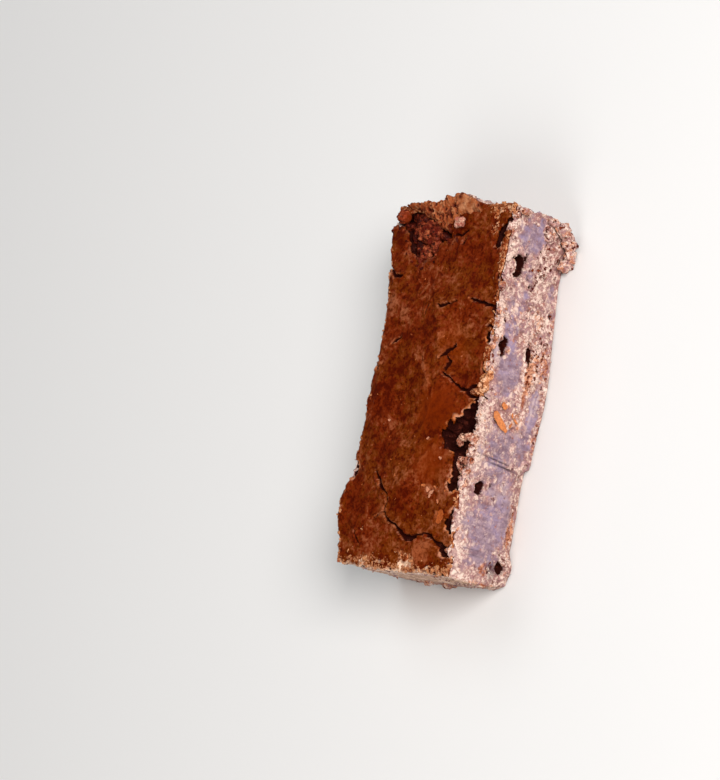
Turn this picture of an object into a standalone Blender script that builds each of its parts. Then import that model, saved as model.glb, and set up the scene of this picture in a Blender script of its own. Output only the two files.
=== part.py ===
"""Chocolate brownie: one hand-cut bar with a broken far end, as a single closed solid.

Frame: metres, +Z up, +Y along the bar, +X towards the long cut side with the open crumb.
The origin is the bottom centre of the bounding box and the bar lies flat on z = 0.
All sizes below are millimetres unless the name says otherwise.
"""
import bpy
import numpy as np

MM = 0.001

# the bar as cut
BAR_LENGTH = 102.4          # near end to far end, before the broken lumps
BAR_WIDTH = 45.6
BAR_HEIGHT = 23.6           # flat base to the mean level of the crust
FAR_SHIFT = 1.0             # the bar is laid out from its nominal middle, the far end is longer

# edges
SIDE_ROUND = 1.3            # worn cut edges, all round
CORNER_ROUND = 2.6          # extra wear on the near bottom corner

# waviness of the surfaces
CRUMB_RIPPLE = 0.32         # open crumb on the cut sides
CRUST_FOLD = 0.55           # slow folds of the baked top
END_RIPPLE = 0.5            # torn look of the two ends

# grid of the solid
CELLS_X, CELLS_Y, CELLS_Z = 27, 61, 14
EDGE_CROWDING = 0.75        # how much the grid lines gather at the edges


def bell(t, centre, spread, height):
    """Smooth hill of one variable."""
    return height * np.exp(-((t - centre) / spread) ** 2)


def rise(t, edge, soft):
    """Smooth step from 0 to 1 at edge."""
    return 0.5 * (1.0 + np.tanh((t - edge) / soft))


def dent(a, b, at_a, at_b, half_a, half_b, depth, turn=0.0):
    """Flat-bottomed pit of two variables: an ellipse with steep walls, turned by turn degrees."""
    c, s = np.cos(np.radians(turn)), np.sin(np.radians(turn))
    p, q = (a - at_a) * c + (b - at_b) * s, -(a - at_a) * s + (b - at_b) * c
    return depth * np.exp(-(((p / half_a) ** 2 + (q / half_b) ** 2) ** 2))


def ripple(a, b, pitch, seed):
    """Sum of crossed waves, between about -1 and 1, with the given pitch."""
    total = np.zeros_like(a)
    for n in range(5):
        angle = seed + 2.4 * n
        k = 2.0 * np.pi / (pitch * (1.0 + 0.37 * n))
        total += np.sin(k * (a * np.cos(angle) + b * np.sin(angle)) + 1.7 * n + seed)
    return total / 3.2


def left_edge(y):
    """The far long side, seen from above: it bows in beyond the middle and out near the close end."""
    return (-23.1 + bell(y, 15, 15, 2.1) + bell(y, 44, 6, -1.7) + bell(y, -35, 9, -3.5)
            + bell(y, -20, 6, -0.8))


def cut_edge_top(y):
    """Where the crust meets the cut side; the near part leans in where the crust broke away."""
    return 23.2 + bell(y, 33, 7, -0.7) + bell(y, -8, 6, 0.8) - 1.7 * rise(-y, 21, 3) + bell(y, 50, 5, 0.6)


def cut_edge_base(y):
    """Foot of the cut side, bulging slightly at mid length."""
    return 22.9 + bell(y, 6, 15, 1.9) + bell(y, 36, 6, -0.6)


def near_end(x, w):
    """The close end, a clean knife cut that runs outwards towards the base."""
    return -50.6 - 0.9 * (1.0 - w) + bell(x, -8, 9, -0.5) + bell(x, 14, 6, 0.3)


def far_end(x, w):
    """The broken end: a torn lip stands proud left of the cut side and the foot is set back."""
    return 52.2 + bell(x, 4, 4.5, 2.6) * rise(w, 0.55, 0.2) - 2.4 * rise(-w, -0.2, 0.1) + bell(x, -15, 5, 0.4)


def crust_level(x, y):
    """Height of the baked top over the base."""
    along = -2.7 + (30.6 - y) * 0.325            # the long fold runs slantwise down the middle
    level = BAR_HEIGHT + 0.7 * np.exp(-((x - along) / 5.5) ** 2) * rise(y, -8, 6) * rise(-y, -36, 5)
    level += CRUST_FOLD * ripple(x, y, 21.0, 0.6)
    level -= bell(x, -23, 4, 0.7) * rise(y, -45, 5)
    # the lifted slab of crust at the broken end and the torn hollow before it
    slab = np.clip((y - (47.5 + 0.30 * (x + 2.5))) / 4.0, 0.0, 1.0) * rise(x, -19, 1.5) * rise(-x, -10, 1.2)
    level += 1.9 * slab
    level -= dent(x, y, -12.5, 46.8, 5.6, 2.6, 3.0, -14)
    level -= dent(x, y, -10.6, 38.8, 4.6, 1.5, 1.8, -50)
    level += dent(x, y, -9.0, 43.2, 3.6, 2.4, 1.2)
    # crust broken away along the cut side
    level -= dent(x, y, 17.8, -9.6, 7.6, 3.9, 4.2, 38)
    for at_x, at_y, half_x, half_y, depth in ((20.4, -16.0, 1.9, 2.0, 2.6), (19.0, -20.8, 1.9, 2.2, 2.6),
                                              (18.6, -24.8, 1.6, 2.8, 2.2), (18.4, -35.4, 2.0, 2.4, 1.6),
                                              (18.4, -43.2, 2.8, 1.6, 1.5), (22.0, 15.5, 1.7, 1.9, 2.0),
                                              (20.4, -1.4, 2.2, 1.1, 1.5)):
        level -= dent(x, y, at_x, at_y, half_x, half_y, depth)
    return level


def side_pits(y, z):
    """Air holes opened by the knife in the cut side."""
    pits = dent(y, z, 36.2, 17.0, 3.0, 2.6, 2.8)
    for at_y, at_z, half_y, half_z, depth in ((13.7, 17.4, 2.3, 2.1, 2.6), (13.4, 8.3, 3.2, 1.1, 1.8),
                                              (-25.1, 16.9, 1.8, 2.2, 2.2), (-45.3, 4.6, 1.7, 2.0, 2.4),
                                              (39.2, 14.2, 1.0, 1.0, 1.0)):
        pits = pits + dent(y, z, at_y, at_z, half_y, half_z, depth)
    return pits


def side_clump(y, z):
    """The crumb clump that stuck to the foot of the cut side at the broken end."""
    lump = dent(y, z, 44.3, 2.2, 5.9, 5.2, 5.0)
    return lump * (1.0 + 0.18 * ripple(y, z, 4.6, 2.0))


def rounded_box(x, y, z, half, radius):
    """Moves points of a box surface on to the same box with rounded edges."""
    p = np.stack([x, y, z], axis=-1)
    inner = np.clip(p, -(half - radius), half - radius)
    out = p - inner
    size = np.linalg.norm(out, axis=-1, keepdims=True)
    return np.where(size > 1e-9, inner + out * (radius / np.maximum(size, 1e-9)), p)


def shape(points):
    """Takes rounded-box points (mm, centred) to the real bar."""
    half = np.array([BAR_WIDTH, BAR_LENGTH, BAR_HEIGHT]) / 2.0
    u = points[:, 0] / half[0]                    # -1 left, +1 cut side
    v = points[:, 1] / half[1]                    # -1 near, +1 far
    w = points[:, 2] / BAR_HEIGHT + 0.5           # 0 base, 1 crust
    y = points[:, 1] + FAR_SHIFT
    right = cut_edge_base(y) + (cut_edge_top(y) - cut_edge_base(y)) * w
    left = left_edge(y) + 0.8 * (1.0 - w)
    x = left + (right - left) * (u + 1.0) / 2.0
    y = near_end(x, w) + (far_end(x, w) - near_end(x, w)) * (v + 1.0) / 2.0
    z = w * crust_level(x, y)
    # surface waviness, only on the outside and fading towards the flat base
    fade = np.clip(z / 2.0, 0.0, 1.0)
    on_right = np.clip((u - 0.9) / 0.1, 0.0, 1.0)
    on_left = np.clip((-u - 0.9) / 0.1, 0.0, 1.0)
    on_near = np.clip((-v - 0.95) / 0.05, 0.0, 1.0)
    on_far = np.clip((v - 0.95) / 0.05, 0.0, 1.0)
    side = CRUMB_RIPPLE * ripple(y, z, 6.5, 0.3) * fade
    x = x + on_right * (side - side_pits(y, z) + side_clump(y, z))
    x = x + on_left * CRUMB_RIPPLE * ripple(y, z, 7.5, 4.1) * fade
    y = y + on_near * 0.35 * END_RIPPLE * ripple(x, z, 8.0, 2.2) * fade
    y = y + on_far * END_RIPPLE * ripple(x, z, 6.0, 5.2) * fade
    # wear of the near bottom corner on the cut side
    worn = np.clip((x - 17.5) / 5.0, 0, 1) * np.clip((-44.5 - y) / 6.0, 0, 1) * np.clip(1.0 - z / 9.0, 0, 1)
    x, y = x - CORNER_ROUND * 0.5 * worn, y + CORNER_ROUND * 0.6 * worn
    return np.stack([x, y, z], axis=1)


def grid_line(cells, half):
    """Positions of the grid lines from -half to half, gathered towards both edges."""
    t = np.linspace(-1.0, 1.0, cells + 1)
    return half * np.tanh(EDGE_CROWDING * t) / np.tanh(EDGE_CROWDING)


def bar_mesh():
    """Vertices and faces of the closed bar: five gridded faces and one flat base polygon."""
    nx, ny, nz = CELLS_X, CELLS_Y, CELLS_Z
    half = np.array([BAR_WIDTH, BAR_LENGTH, BAR_HEIGHT]) / 2.0
    i, j, k = np.meshgrid(np.arange(nx + 1), np.arange(ny + 1), np.arange(nz + 1), indexing="ij")
    rim = (i == 0) | (i == nx) | (j == 0) | (j == ny)
    used = rim | (k == nz)
    number = np.full(used.shape, -1, dtype=int)
    number[used] = np.arange(used.sum())
    x = grid_line(nx, half[0])[i[used]]
    y = grid_line(ny, half[1])[j[used]]
    z = grid_line(nz, half[2])[k[used]]
    points = shape(rounded_box(x, y, z, half, SIDE_ROUND))
    points[k[used] == 0, 2] = 0.0
    points[:, 2] = np.maximum(points[:, 2], 0.0)

    def quads(sheet, flip):
        a, b, c, d = sheet[:-1, :-1], sheet[1:, :-1], sheet[1:, 1:], sheet[:-1, 1:]
        order = (a, d, c, b) if flip else (a, b, c, d)
        return np.stack(order, axis=-1).reshape(-1, 4)

    faces = np.concatenate([
        quads(number[:, :, nz], False),
        quads(number[0, :, :], True), quads(number[nx, :, :], False),
        quads(number[:, 0, :], False), quads(number[:, ny, :], True),
    ]).tolist()
    base = np.concatenate([number[:-1, 0, 0], number[nx, :-1, 0], number[:0:-1, ny, 0], number[0, :0:-1, 0]])
    faces.append(base[::-1].tolist())
    middle = (points.min(axis=0) + points.max(axis=0)) / 2.0
    print("design centre in mm:", middle[:2].round(4), "box:", (points.max(0) - points.min(0)).round(3))
    points[:, :2] -= middle[:2]
    return points * MM, faces


def material(name, colour, rough):
    mat = bpy.data.materials.new(name)
    mat.use_nodes = True
    node = mat.node_tree.nodes["Principled BSDF"]
    node.inputs["Base Color"].default_value = (*colour, 1.0)
    node.inputs["Roughness"].default_value = rough
    mat.diffuse_color = (*colour, 1.0)
    return mat


def main():
    for old in list(bpy.data.objects):
        bpy.data.objects.remove(old)
    points, faces = bar_mesh()
    mesh = bpy.data.meshes.new("brownie")
    mesh.from_pydata(points.tolist(), [], faces)
    mesh.validate()
    mesh.shade_smooth()
    mesh.update()
    bar = bpy.data.objects.new("brownie", mesh)
    bar.data.materials.append(material("brownie_crumb", (0.19, 0.075, 0.035), 0.62))
    bpy.context.scene.collection.objects.link(bar)


main()
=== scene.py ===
"""Looks of a chocolate brownie bar: cracked crust, open crumb, torn far end and loose crumbs.

Everything is laid out in the bar's own layout, in millimetres: x runs across the bar to the cut side,
y along it to the torn end, z up from the base. The layout is moved to the frame's metres at the end of
each piece by settle(). Angles are degrees.
"""
import math

import bpy
import numpy as np
from mathutils import Matrix, Vector


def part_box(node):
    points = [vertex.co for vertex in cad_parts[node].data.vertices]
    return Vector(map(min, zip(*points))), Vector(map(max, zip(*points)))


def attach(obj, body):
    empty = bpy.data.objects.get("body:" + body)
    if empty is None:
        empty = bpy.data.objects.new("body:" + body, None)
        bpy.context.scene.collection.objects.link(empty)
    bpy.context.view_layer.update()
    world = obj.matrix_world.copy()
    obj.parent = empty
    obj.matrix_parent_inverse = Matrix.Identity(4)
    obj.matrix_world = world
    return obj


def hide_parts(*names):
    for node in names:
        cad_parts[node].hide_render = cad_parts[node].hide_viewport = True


bl_info = {
    "name": "Chocolate brownie looks",
    "version": (1, 0, 0),
    "blender": (4, 5, 0),
    "location": "View3D > Sidebar > Brownie",
    "description": "Builds the crust, crumb, torn end and crumbs of a chocolate brownie bar",
    "category": "Object",
}

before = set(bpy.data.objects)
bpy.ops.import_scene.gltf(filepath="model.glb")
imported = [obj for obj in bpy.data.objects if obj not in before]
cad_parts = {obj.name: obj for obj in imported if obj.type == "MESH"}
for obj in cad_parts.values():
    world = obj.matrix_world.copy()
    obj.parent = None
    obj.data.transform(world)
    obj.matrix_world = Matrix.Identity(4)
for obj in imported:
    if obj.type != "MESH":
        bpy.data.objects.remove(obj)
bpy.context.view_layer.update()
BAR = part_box("brownie")

MM = 0.001
MIDDLE = np.array([0.8036, 1.2903, 0.0])      # the middle of the bar's box in its own layout
NOMINAL_LENGTH, NOMINAL_WIDTH, NOMINAL_HEIGHT = 102.4, 45.6, 23.6
FAR_SHIFT = 1.0

# places where the crust broke away: outline in plan, then the depth of the hollow below
OPENINGS = (
    (((25.8, -1.7), (23.4, -1.9), (21.4, -2.4), (20.8, -3.4), (19.2, -3.2), (18.5, -4.8), (16.9, -4.7), (16.5, -6.6),
      (14.6, -6.9), (14.2, -8.6), (12.6, -8.8), (12.4, -10.2), (10.4, -11.0), (11.6, -12.6), (12.2, -15.4), (14.0, -15.9), (16.0, -16.4), (16.9, -18.2), (17.2, -20.5),
      (16.9, -23.0), (16.6, -26.5), (17.6, -27.6), (20.9, -26.9), (25.8, -24.5)), 4.2),
    (((22.6, -32.0), (19.8, -32.2), (18.2, -33.8), (17.6, -36.4), (18.2, -38.4), (20.2, -38.9), (22.6, -37.6)), 2.4),
    (((22.6, -41.9), (17.4, -42.3), (16.2, -43.4), (18.6, -44.8), (22.6, -44.6)), 1.5),
    (((24.2, 16.4), (23.2, 16.9), (21.9, 16.7), (20.9, 15.8), (20.8, 14.7), (21.6, 13.9), (22.9, 13.6), (24.2, 14.2)),
     3.0),
    (((25.6, 50.2), (22.8, 49.8), (20.6, 47.0), (18.8, 43.6), (18.7, 40.6), (19.5, 38.8), (20.6, 39.8), (21.4, 42.2),
      (22.8, 44.4), (25.6, 46.8)), 2.2),
    (((25.2, 25.2), (22.6, 24.7), (22.3, 22.6), (23.0, 20.4), (25.2, 20.6)), 1.2),
    (((-25.2, -20.8), (-23.2, -21.0), (-22.4, -22.6), (-22.2, -24.6), (-22.9, -26.2), (-25.6, -26.4)), 1.2),
)
# the torn corner of the crust at the far end: same order
TORN = (
    (((-24.5, 48.9), (-17.0, 50.4), (-12.0, 49.6), (-6.0, 47.4), (-1.0, 44.9), (1.4, 43.3), (-2.6, 42.3),
      (-5.4, 40.4), (-6.3, 38.2), (-8.4, 36.4), (-10.0, 35.4), (-13.0, 37.4), (-15.9, 40.0), (-17.2, 42.6),
      (-18.4, 45.2), (-21.0, 46.4), (-24.5, 46.9)), 2.9),
)
# folds of the crust: path, height, reach to the left of the path and to the right
FOLDS = (
    (((-3.2, 31.5), (-1.0, 27.0), (2.0, 20.0), (4.0, 14.6), (4.6, 9.6)), 0.38, 5.0, 0.9),
    (((4.6, 9.6), (4.3, 3.0), (4.4, -6.0), (2.5, -12.0), (-0.6, -15.6)), 0.26, 5.0, 1.0),
    (((-6.0, 23.5), (1.0, 27.4), (7.0, 27.0), (13.0, 27.6)), 0.30, 1.0, 2.4),
    (((10.4, -12.6), (5.0, -14.6), (-3.0, -15.6), (-9.0, -14.0)), 0.34, 2.4, 1.0),
    (((9.6, -13.6), (5.6, -19.0), (2.0, -26.0)), 0.20, 3.0, 1.2),
    (((-10.5, 32.5), (-8.0, 29.0), (-9.5, 25.5)), 0.38, 1.2, 0.6),
    (((-6.5, 33.0), (-5.0, 29.5), (-7.5, 26.5), (-4.4, 24.6)), 0.38, 0.6, 1.2),
    (((-20.0, 27.0), (-15.0, 23.4), (-8.8, 21.6)), 0.30, 0.8, 2.0),
    (((-23.0, 33.6), (-19.0, 31.6), (-14.0, 32.4)), 0.40, 0.7, 1.8),
    (((-21.6, 11.6), (-16.0, 11.4), (-12.0, 13.6)), 0.28, 1.5, 0.6),
    (((-20.6, 4.4), (-18.0, -1.2), (-18.8, -7.0)), 0.30, 0.6, 2.0),
    (((-16.4, -31.0), (-11.6, -29.6), (-7.4, -31.0)), 0.32, 0.6, 2.4),
    (((7.6, -40.8), (6.6, -44.0), (8.6, -48.4)), 0.30, 4.4, 0.8),
    (((8.0, -41.9), (12.6, -41.6), (16.4, -44.0), (17.0, -48.0)), 0.35, 0.5, 3.0),
    (((14.0, -31.6), (13.2, -34.4), (14.4, -37.0)), 0.35, 2.6, 0.5),
    (((-3.0, -20.0), (-1.0, -24.0), (-4.0, -28.5)), 0.24, 1.8, 0.8),
    (((-2.6, 12.0), (0.2, 6.0), (3.2, -2.6)), 0.34, 1.2, 1.6),
    (((13.4, 21.6), (18.4, 20.0), (20.6, 15.8)), 0.30, 1.8, 0.8),
    (((8.0, 46.6), (13.4, 44.6), (17.6, 40.6)), 0.28, 1.0, 1.8),
)
# tone of the crust: place, half sizes, turn, amount; below zero darker zones, and at (1.6, 44.4) a painted shadow under
# the lifted slab; above zero a pale bloom that is mostly painted sheen
TONES = (
    (8.4, 17.0, 3.4, 6.0, 24, 0.30), (0.6, 5.0, 1.8, 6.5, 24, 0.40), (8.6, -5.0, 5.0, 5.0, 0, -0.12),
    # (1.6, 44.4): painted shadow under the lifted slab
    (1.6, 44.4, 5.4, 1.1, 18, -0.80), (-12.0, 33.0, 4.0, 1.2, 20, 0.20), (11.0, -44.8, 4.6, 3.0, 0, 0.85),
    (-15.0, 22.0, 6.0, 2.6, -14, 0.50), (-6.4, 28.0, 4.6, 4.0, 0, 0.20), (8.6, -27.2, 3.2, 1.6, 0, 0.40),
    (15.4, -34.4, 1.7, 1.7, 0, 1.30), (17.0, 27.4, 4.0, 2.0, 0, 0.20), (17.4, 19.0, 2.6, 3.0, 0, 0.02),
    (9.4, -20.6, 6.0, 5.0, 0, 0.32), (-12.0, 0.0, 8.0, 10.0, 0, -0.40), (-10.0, -18.0, 8.0, 5.0, 0, -0.18),
    (0.0, -30.6, 6.0, 4.6, 0, -0.42), (13.0, 36.0, 7.0, 8.0, 0, -0.12), (-19.0, 40.0, 4.0, 9.0, 0, 0.10),
    (-17.0, -38.0, 7.0, 5.0, 0, -0.10), (-18.6, 9.0, 2.6, 3.4, 0, 0.40), (-12.0, 12.0, 5.0, 4.0, 0, -0.20),
    (-8.0, -34.0, 2.6, 2.4, 0, 0.30), (17.0, 6.0, 4.0, 3.4, 0, -0.15), (-20.0, 27.0, 3.0, 4.0, 0, 0.35),
    (-20.0, 43.0, 2.0, 2.4, 0, -0.40), (-21.0, 20.0, 1.0, 2.0, 0, 0.90), (-22.4, 3.0, 0.8, 2.0, 0, 0.90),
)
# smooth parts of the crust: same order
SMOOTH = (
    (8.6, -20.0, 6.8, 6.0, 0, 0.80), (8.8, -5.4, 6.4, 6.4, 0, 1.00), (9.4, 13.0, 5.0, 9.0, 20, 0.55),
    (11.0, -44.8, 4.6, 3.0, 0, 0.45), (0.8, 4.0, 3.0, 8.0, 20, 0.35), (2.6, -8.0, 3.0, 6.0, 0, 0.50),
    (15.2, -34.4, 1.9, 1.9, 0, 0.70),
)
# crumbly parts of the crust, where pale crumb shows through: same order
CRUMBLY = (
    (17.8, 46.2, 1.9, 4.2, -8, 0.75), (3.6, -46.8, 4.0, 2.2, 0, 0.75), (-11.0, -48.4, 3.4, 1.6, 0, 0.70),
    (20.6, 33.0, 1.0, 4.0, 0, 0.50), 
    (10.6, -27.4, 2.6, 0.9, 10, 0.55), (-19.4, -7.0, 1.0, 1.4, 0, 0.45), (20.8, -47.4, 1.8, 2.4, 0, 0.60),
    (7.6, -35.4, 1.6, 0.8, 0, 0.35), (-15.6, -40.6, 1.0, 0.8, 0, 0.35), (18.6, 51.0, 4.0, 1.4, 0, 0.70),
)
# cut side: y, z, half sizes, turn, amount. Smears left by the knife; pored places; rust-brown crumbs
SMEARS = (
    (-35.4, 12.6, 8.0, 7.4, 0, 1.00), (-33.0, 7.6, 6.0, 3.4, 0, 0.85), (-20.0, 13.0, 4.4, 7.4, 0, 0.60),
    (-12.0, 13.0, 5.0, 7.6, 0, 0.66), (-10.0, 5.2, 6.6, 2.4, 0, 0.50), (-1.0, 4.0, 6.6, 2.0, 0, 0.85),
    (7.2, 15.4, 7.0, 4.0, 0, 1.05), (16.6, 16.6, 4.0, 3.0, 0, 0.60), (26.4, 15.6, 6.0, 3.6, 0, 0.60),
    (30.5, 3.0, 4.0, 1.9, 0, 0.50), (45.4, 13.6, 4.8, 5.4, 0, 0.95), (-44.0, 14.0, 3.0, 8.0, 0, 0.40), (-25.4, 8.0, 3.0, 5.0, 0, 0.40),
    (16.0, 1.6, 4.6, 1.4, 0, 0.45), (12.4, 21.4, 3.0, 1.2, 0, 0.40), (35.0, 13.0, 3.6, 2.6, 0, 0.35),
)
PORED = (
    (9.6, 7.4, 7.6, 2.3, 0, 1.0), (12.6, 3.6, 7.4, 2.6, 0, 1.0), (22.0, 6.6, 7.0, 3.4, 0, 0.60),
    (33.0, 10.6, 4.0, 2.4, 0, 0.60), (41.0, 6.6, 6.0, 4.6, 0, 0.60), (48.0, 6.0, 4.0, 6.0, 0, 0.95),
    (-9.0, 0.8, 3.0, 1.3, 0, 0.70), (25.0, 2.0, 3.0, 1.8, 0, 0.60), (-37.0, 3.0, 5.0, 1.6, 0, 0.45),
    (22.0, 19.4, 2.6, 2.4, 0, 0.60), (37.0, 15.0, 5.0, 3.6, 0, 0.40), (-25.0, 13.0, 1.8, 4.0, 0, 0.40),
    (-46.0, 7.0, 3.4, 3.4, 0, 0.70), (4.0, 22.6, 9.0, 1.4, 0, 0.70), (50.6, 14.0, 1.8, 7.0, 0, 0.60),
    (22.0, 22.8, 6.0, 1.0, 0, 0.60), (-30.0, 22.6, 8.0, 1.2, 0, 0.35), (-6.0, 0.8, 8.0, 1.4, 0, 0.60),
    (-31.0, 2.4, 9.0, 1.2, 0, 0.50),
)
RUSTY = (
    (9.6, 7.6, 6.6, 2.0, 0, 1.00), (2.4, 8.6, 3.4, 1.3, 0, 0.80), (12.0, 3.2, 6.4, 2.4, 0, 0.75),
    (22.6, 7.6, 4.0, 2.4, 0, 0.50), (-6.0, 9.4, 2.6, 1.6, 0, 0.60), (-37.0, 3.2, 2.6, 1.6, 0, 0.80),
    (-46.4, 11.2, 2.4, 1.8, 0, 1.00), (-51.4, 11.0, 1.6, 6.0, 0, 0.80), (47.6, 3.4, 4.6, 3.4, 0, 0.50),
    (3.6, 22.6, 5.0, 1.6, 0, 0.90), (22.4, 22.6, 4.0, 1.0, 0, 0.50), (-25.0, 18.4, 1.6, 1.4, 0, 0.40),
    (-1.6, 13.6, 1.4, 1.2, 0, 0.60), (22.6, 19.0, 1.6, 1.6, 0, 0.40), (-34.0, 2.4, 6.0, 1.8, 0, 0.80),
    (-8.0, 0.8, 8.0, 1.5, 0, 0.60), (24.0, 1.4, 4.0, 1.2, 0, 0.40),
)
# air holes in the cut side: y, z, half length along y, half height, turn, depth
HOLES = (
    (36.4, 17.2, 3.5, 3.1, -8, 3.6), (39.2, 14.4, 1.1, 0.9, 0, 1.6), (41.9, 9.2, 0.8, 0.7, 0, 1.0),
    (33.6, 12.6, 1.0, 0.5, 0, 0.9), (31.8, 11.5, 1.1, 0.5, -30, 1.0), (20.8, 18.8, 1.0, 0.6, 0, 1.0),
    (13.8, 18.0, 2.9, 1.9, -8, 3.4), (13.0, 8.6, 3.8, 1.2, 4, 2.6), (25.4, 9.4, 0.9, 0.6, 0, 0.9),
    (18.2, 9.1, 0.8, 0.5, 0, 0.9), (-25.2, 16.8, 1.8, 2.0, 20, 2.8), (-24.2, 12.6, 0.7, 0.7, 0, 0.9),
    (-45.4, 4.7, 2.0, 1.9, 30, 2.4), (50.2, 11.2, 0.7, 0.5, 0, 0.8), (11.7, 21.3, 0.8, 0.6, 0, 0.9),
    (5.2, 2.4, 0.8, 0.6, 0, 0.9), (25.2, 2.2, 1.1, 0.7, 20, 1.0), (9.6, 4.8, 1.0, 0.6, 30, 1.0),
)
# crumbs that hang in the air holes and on their rims: y, z, half length along y, half height, how far out
HOLE_CRUMBS = (
    (35.7, 19.3, 1.8, 1.3, 0.3), (33.4, 19.6, 0.7, 0.7, -0.1), (39.2, 19.2, 0.7, 0.8, -0.1), (33.4, 15.0, 0.8, 0.6, -0.1),
    (12.9, 16.1, 1.1, 0.5, -0.2), (16.0, 19.5, 0.8, 0.5, -0.1), (11.6, 19.6, 0.7, 0.6, -0.1),
    (-25.9, 18.7, 0.8, 0.5, -0.2), (-23.4, 18.3, 0.6, 0.5, -0.1), (-46.6, 2.4, 1.1, 0.7, 0.1), (-43.7, 3.0, 0.7, 0.8, 0.0),
    (10.2, 9.6, 0.9, 0.5, 0.1), (15.8, 7.6, 0.9, 0.5, 0.1),
)
# paler, denser crumb: same order as the smears
CREAMY = (
    (-38.0, 21.9, 11.0, 2.4, 0, 0.45), (-8.0, 21.9, 9.0, 2.0, 0, 0.60), (18.0, 21.2, 10.0, 2.0, 0, 0.90),
    (42.0, 21.0, 6.0, 1.8, 0, 0.55), (-25.4, 9.0, 1.9, 4.2, 0, 0.25), (8.0, 9.9, 9.0, 0.8, 4, 0.70),
    (-18.5, 20.0, 5.0, 2.4, 0, 0.50), (32.0, 8.0, 7.0, 2.0, -14, 0.30), (10.0, 6.0, 6.0, 2.4, 0, 0.40),
    (-49.6, 19.0, 2.0, 4.0, 0, 0.50), (-1.0, 4.5, 6.5, 0.4, -9, 1.00), (2.0, 2.9, 5.0, 0.35, -5, 0.80), (-6.0, 8.6, 4.6, 1.6, 10, 0.35), (36.4, 20.4, 3.0, 1.0, 0, 0.60),
)
# cracks of the crust, each a run of turning points, with its width at the middle
CRACKS = (
    (((12.9, 26.0), (16.3, 24.8), (20.2, 24.1), (23.4, 24.0)), 0.62),
    (((0.4, 23.6), (4.2, 23.8), (8.2, 24.4)), 0.46),
    (((-3.3, 23.6), (-3.8, 21.0)), 0.50),
    (((-15.4, 11.8), (-12.2, 14.4)), 0.72),
    (((5.6, 9.0), (10.8, 12.9)), 0.85),
    (((8.0, 9.4), (9.0, 7.6), (8.2, 5.7)), 0.85),
    (((7.2, 5.1), (10.8, 2.5), (14.5, 0.7), (17.6, 0.9)), 0.62),
    (((-13.6, -23.6), (-11.2, -26.6), (-6.6, -30.0)), 0.80),
    (((-6.6, -30.0), (-6.2, -32.0), (-6.9, -35.2)), 0.62),
    (((-6.9, -35.2), (-11.0, -37.2)), 0.34),
    (((-6.9, -35.2), (-4.2, -37.4), (0.3, -39.0), (2.6, -41.0), (6.0, -41.1), (10.6, -39.4)), 0.75),
    (((0.6, -39.5), (2.6, -41.0), (6.0, -41.1), (8.0, -40.4)), 1.35),
    (((10.6, -39.4), (13.6, -40.6), (16.2, -41.9), (20.6, -43.6)), 0.60),
    (((14.6, -41.2), (17.6, -42.4), (20.6, -43.6)), 1.25),
    (((-18.6, -41.6), (-16.8, -43.0), (-14.6, -45.4)), 0.36),
    (((24.6, -1.4), (21.4, -1.8), (18.9, -1.3), (17.5, 0.1), (18.7, 1.4), (20.9, 1.7)), 1.35),
    (((1.4, 43.3), (4.6, 43.6), (7.6, 45.2)), 0.70),
    (((5.8, 40.9), (7.1, 42.0)), 0.95),
    (((-23.6, 34.2), (-19.6, 31.8), (-16.4, 32.2)), 0.60),
    (((21.8, 8.4), (22.2, 5.6), (23.6, 4.4)), 0.80),
    (((21.6, 33.0), (22.4, 29.0), (21.9, 26.4)), 0.60),
    (((22.9, 25.4), (22.0, 22.6), (22.9, 20.2)), 0.70),
    (((20.9, 17.9), (22.2, 18.6), (23.8, 17.4)), 0.50),
    (((-22.4, 8.4), (-20.0, 5.2)), 0.60),
)


# ---------------------------------------------------------------- numbers

def bell(t, centre, spread, height):
    """Smooth hill: height times e to the minus squared distance from centre in spreads."""
    return height * np.exp(-((t - centre) / spread) ** 2)


def rise(t, edge, soft):
    """Smooth step from 0 to 1 at edge: half of one plus the hyperbolic tangent of the distance."""
    return 0.5 * (1.0 + np.tanh((t - edge) / soft))


def ramp(t, low, high):
    """Cubic step: 0 below low, 1 above high, three t squared less two t cubed between."""
    t = np.clip((t - low) / (high - low), 0.0, 1.0)
    return t * t * (3.0 - 2.0 * t)


def ripple(a, b, pitch, seed):
    """Five crossed sine waves of growing pitch, turned 2.4 rad from each other."""
    total = np.zeros_like(a)
    for n in range(5):
        angle, k = seed + 2.4 * n, 2.0 * np.pi / (pitch * (1.0 + 0.37 * n))
        total += np.sin(k * (a * np.cos(angle) + b * np.sin(angle)) + 1.7 * n + seed)
    return total / 3.2


def chance(ix, iy, iz, seed):
    """Repeatable 32-bit number for each lattice cell, by multiplying and folding its three indices."""
    h = (ix.astype(np.uint32) * np.uint32(374761393) + iy.astype(np.uint32) * np.uint32(668265263)
         + iz.astype(np.uint32) * np.uint32(2246822519) + np.uint32(seed * 40503 + 17))
    h = (h ^ (h >> np.uint32(13))) * np.uint32(1274126177)
    h = (h ^ (h >> np.uint32(15))) * np.uint32(2654435761)
    return h ^ (h >> np.uint32(16))


def noise(p, pitch, seed):
    """Lattice noise from -1 to 1: chance values at the corners of cells one pitch wide, blended smoothly."""
    q = p / pitch
    c = np.floor(q)
    f = q - c
    f = f * f * f * (f * (f * 6.0 - 15.0) + 10.0)
    c = c.astype(np.int64)
    total = np.zeros(len(p))
    for dx in (0, 1):
        for dy in (0, 1):
            for dz in (0, 1):
                w = ((f[:, 0] if dx else 1 - f[:, 0]) * (f[:, 1] if dy else 1 - f[:, 1])
                     * (f[:, 2] if dz else 1 - f[:, 2]))
                total += w * chance(c[:, 0] + dx, c[:, 1] + dy, c[:, 2] + dz, seed)
    return total / 2147483648.0 - 1.0


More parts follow.
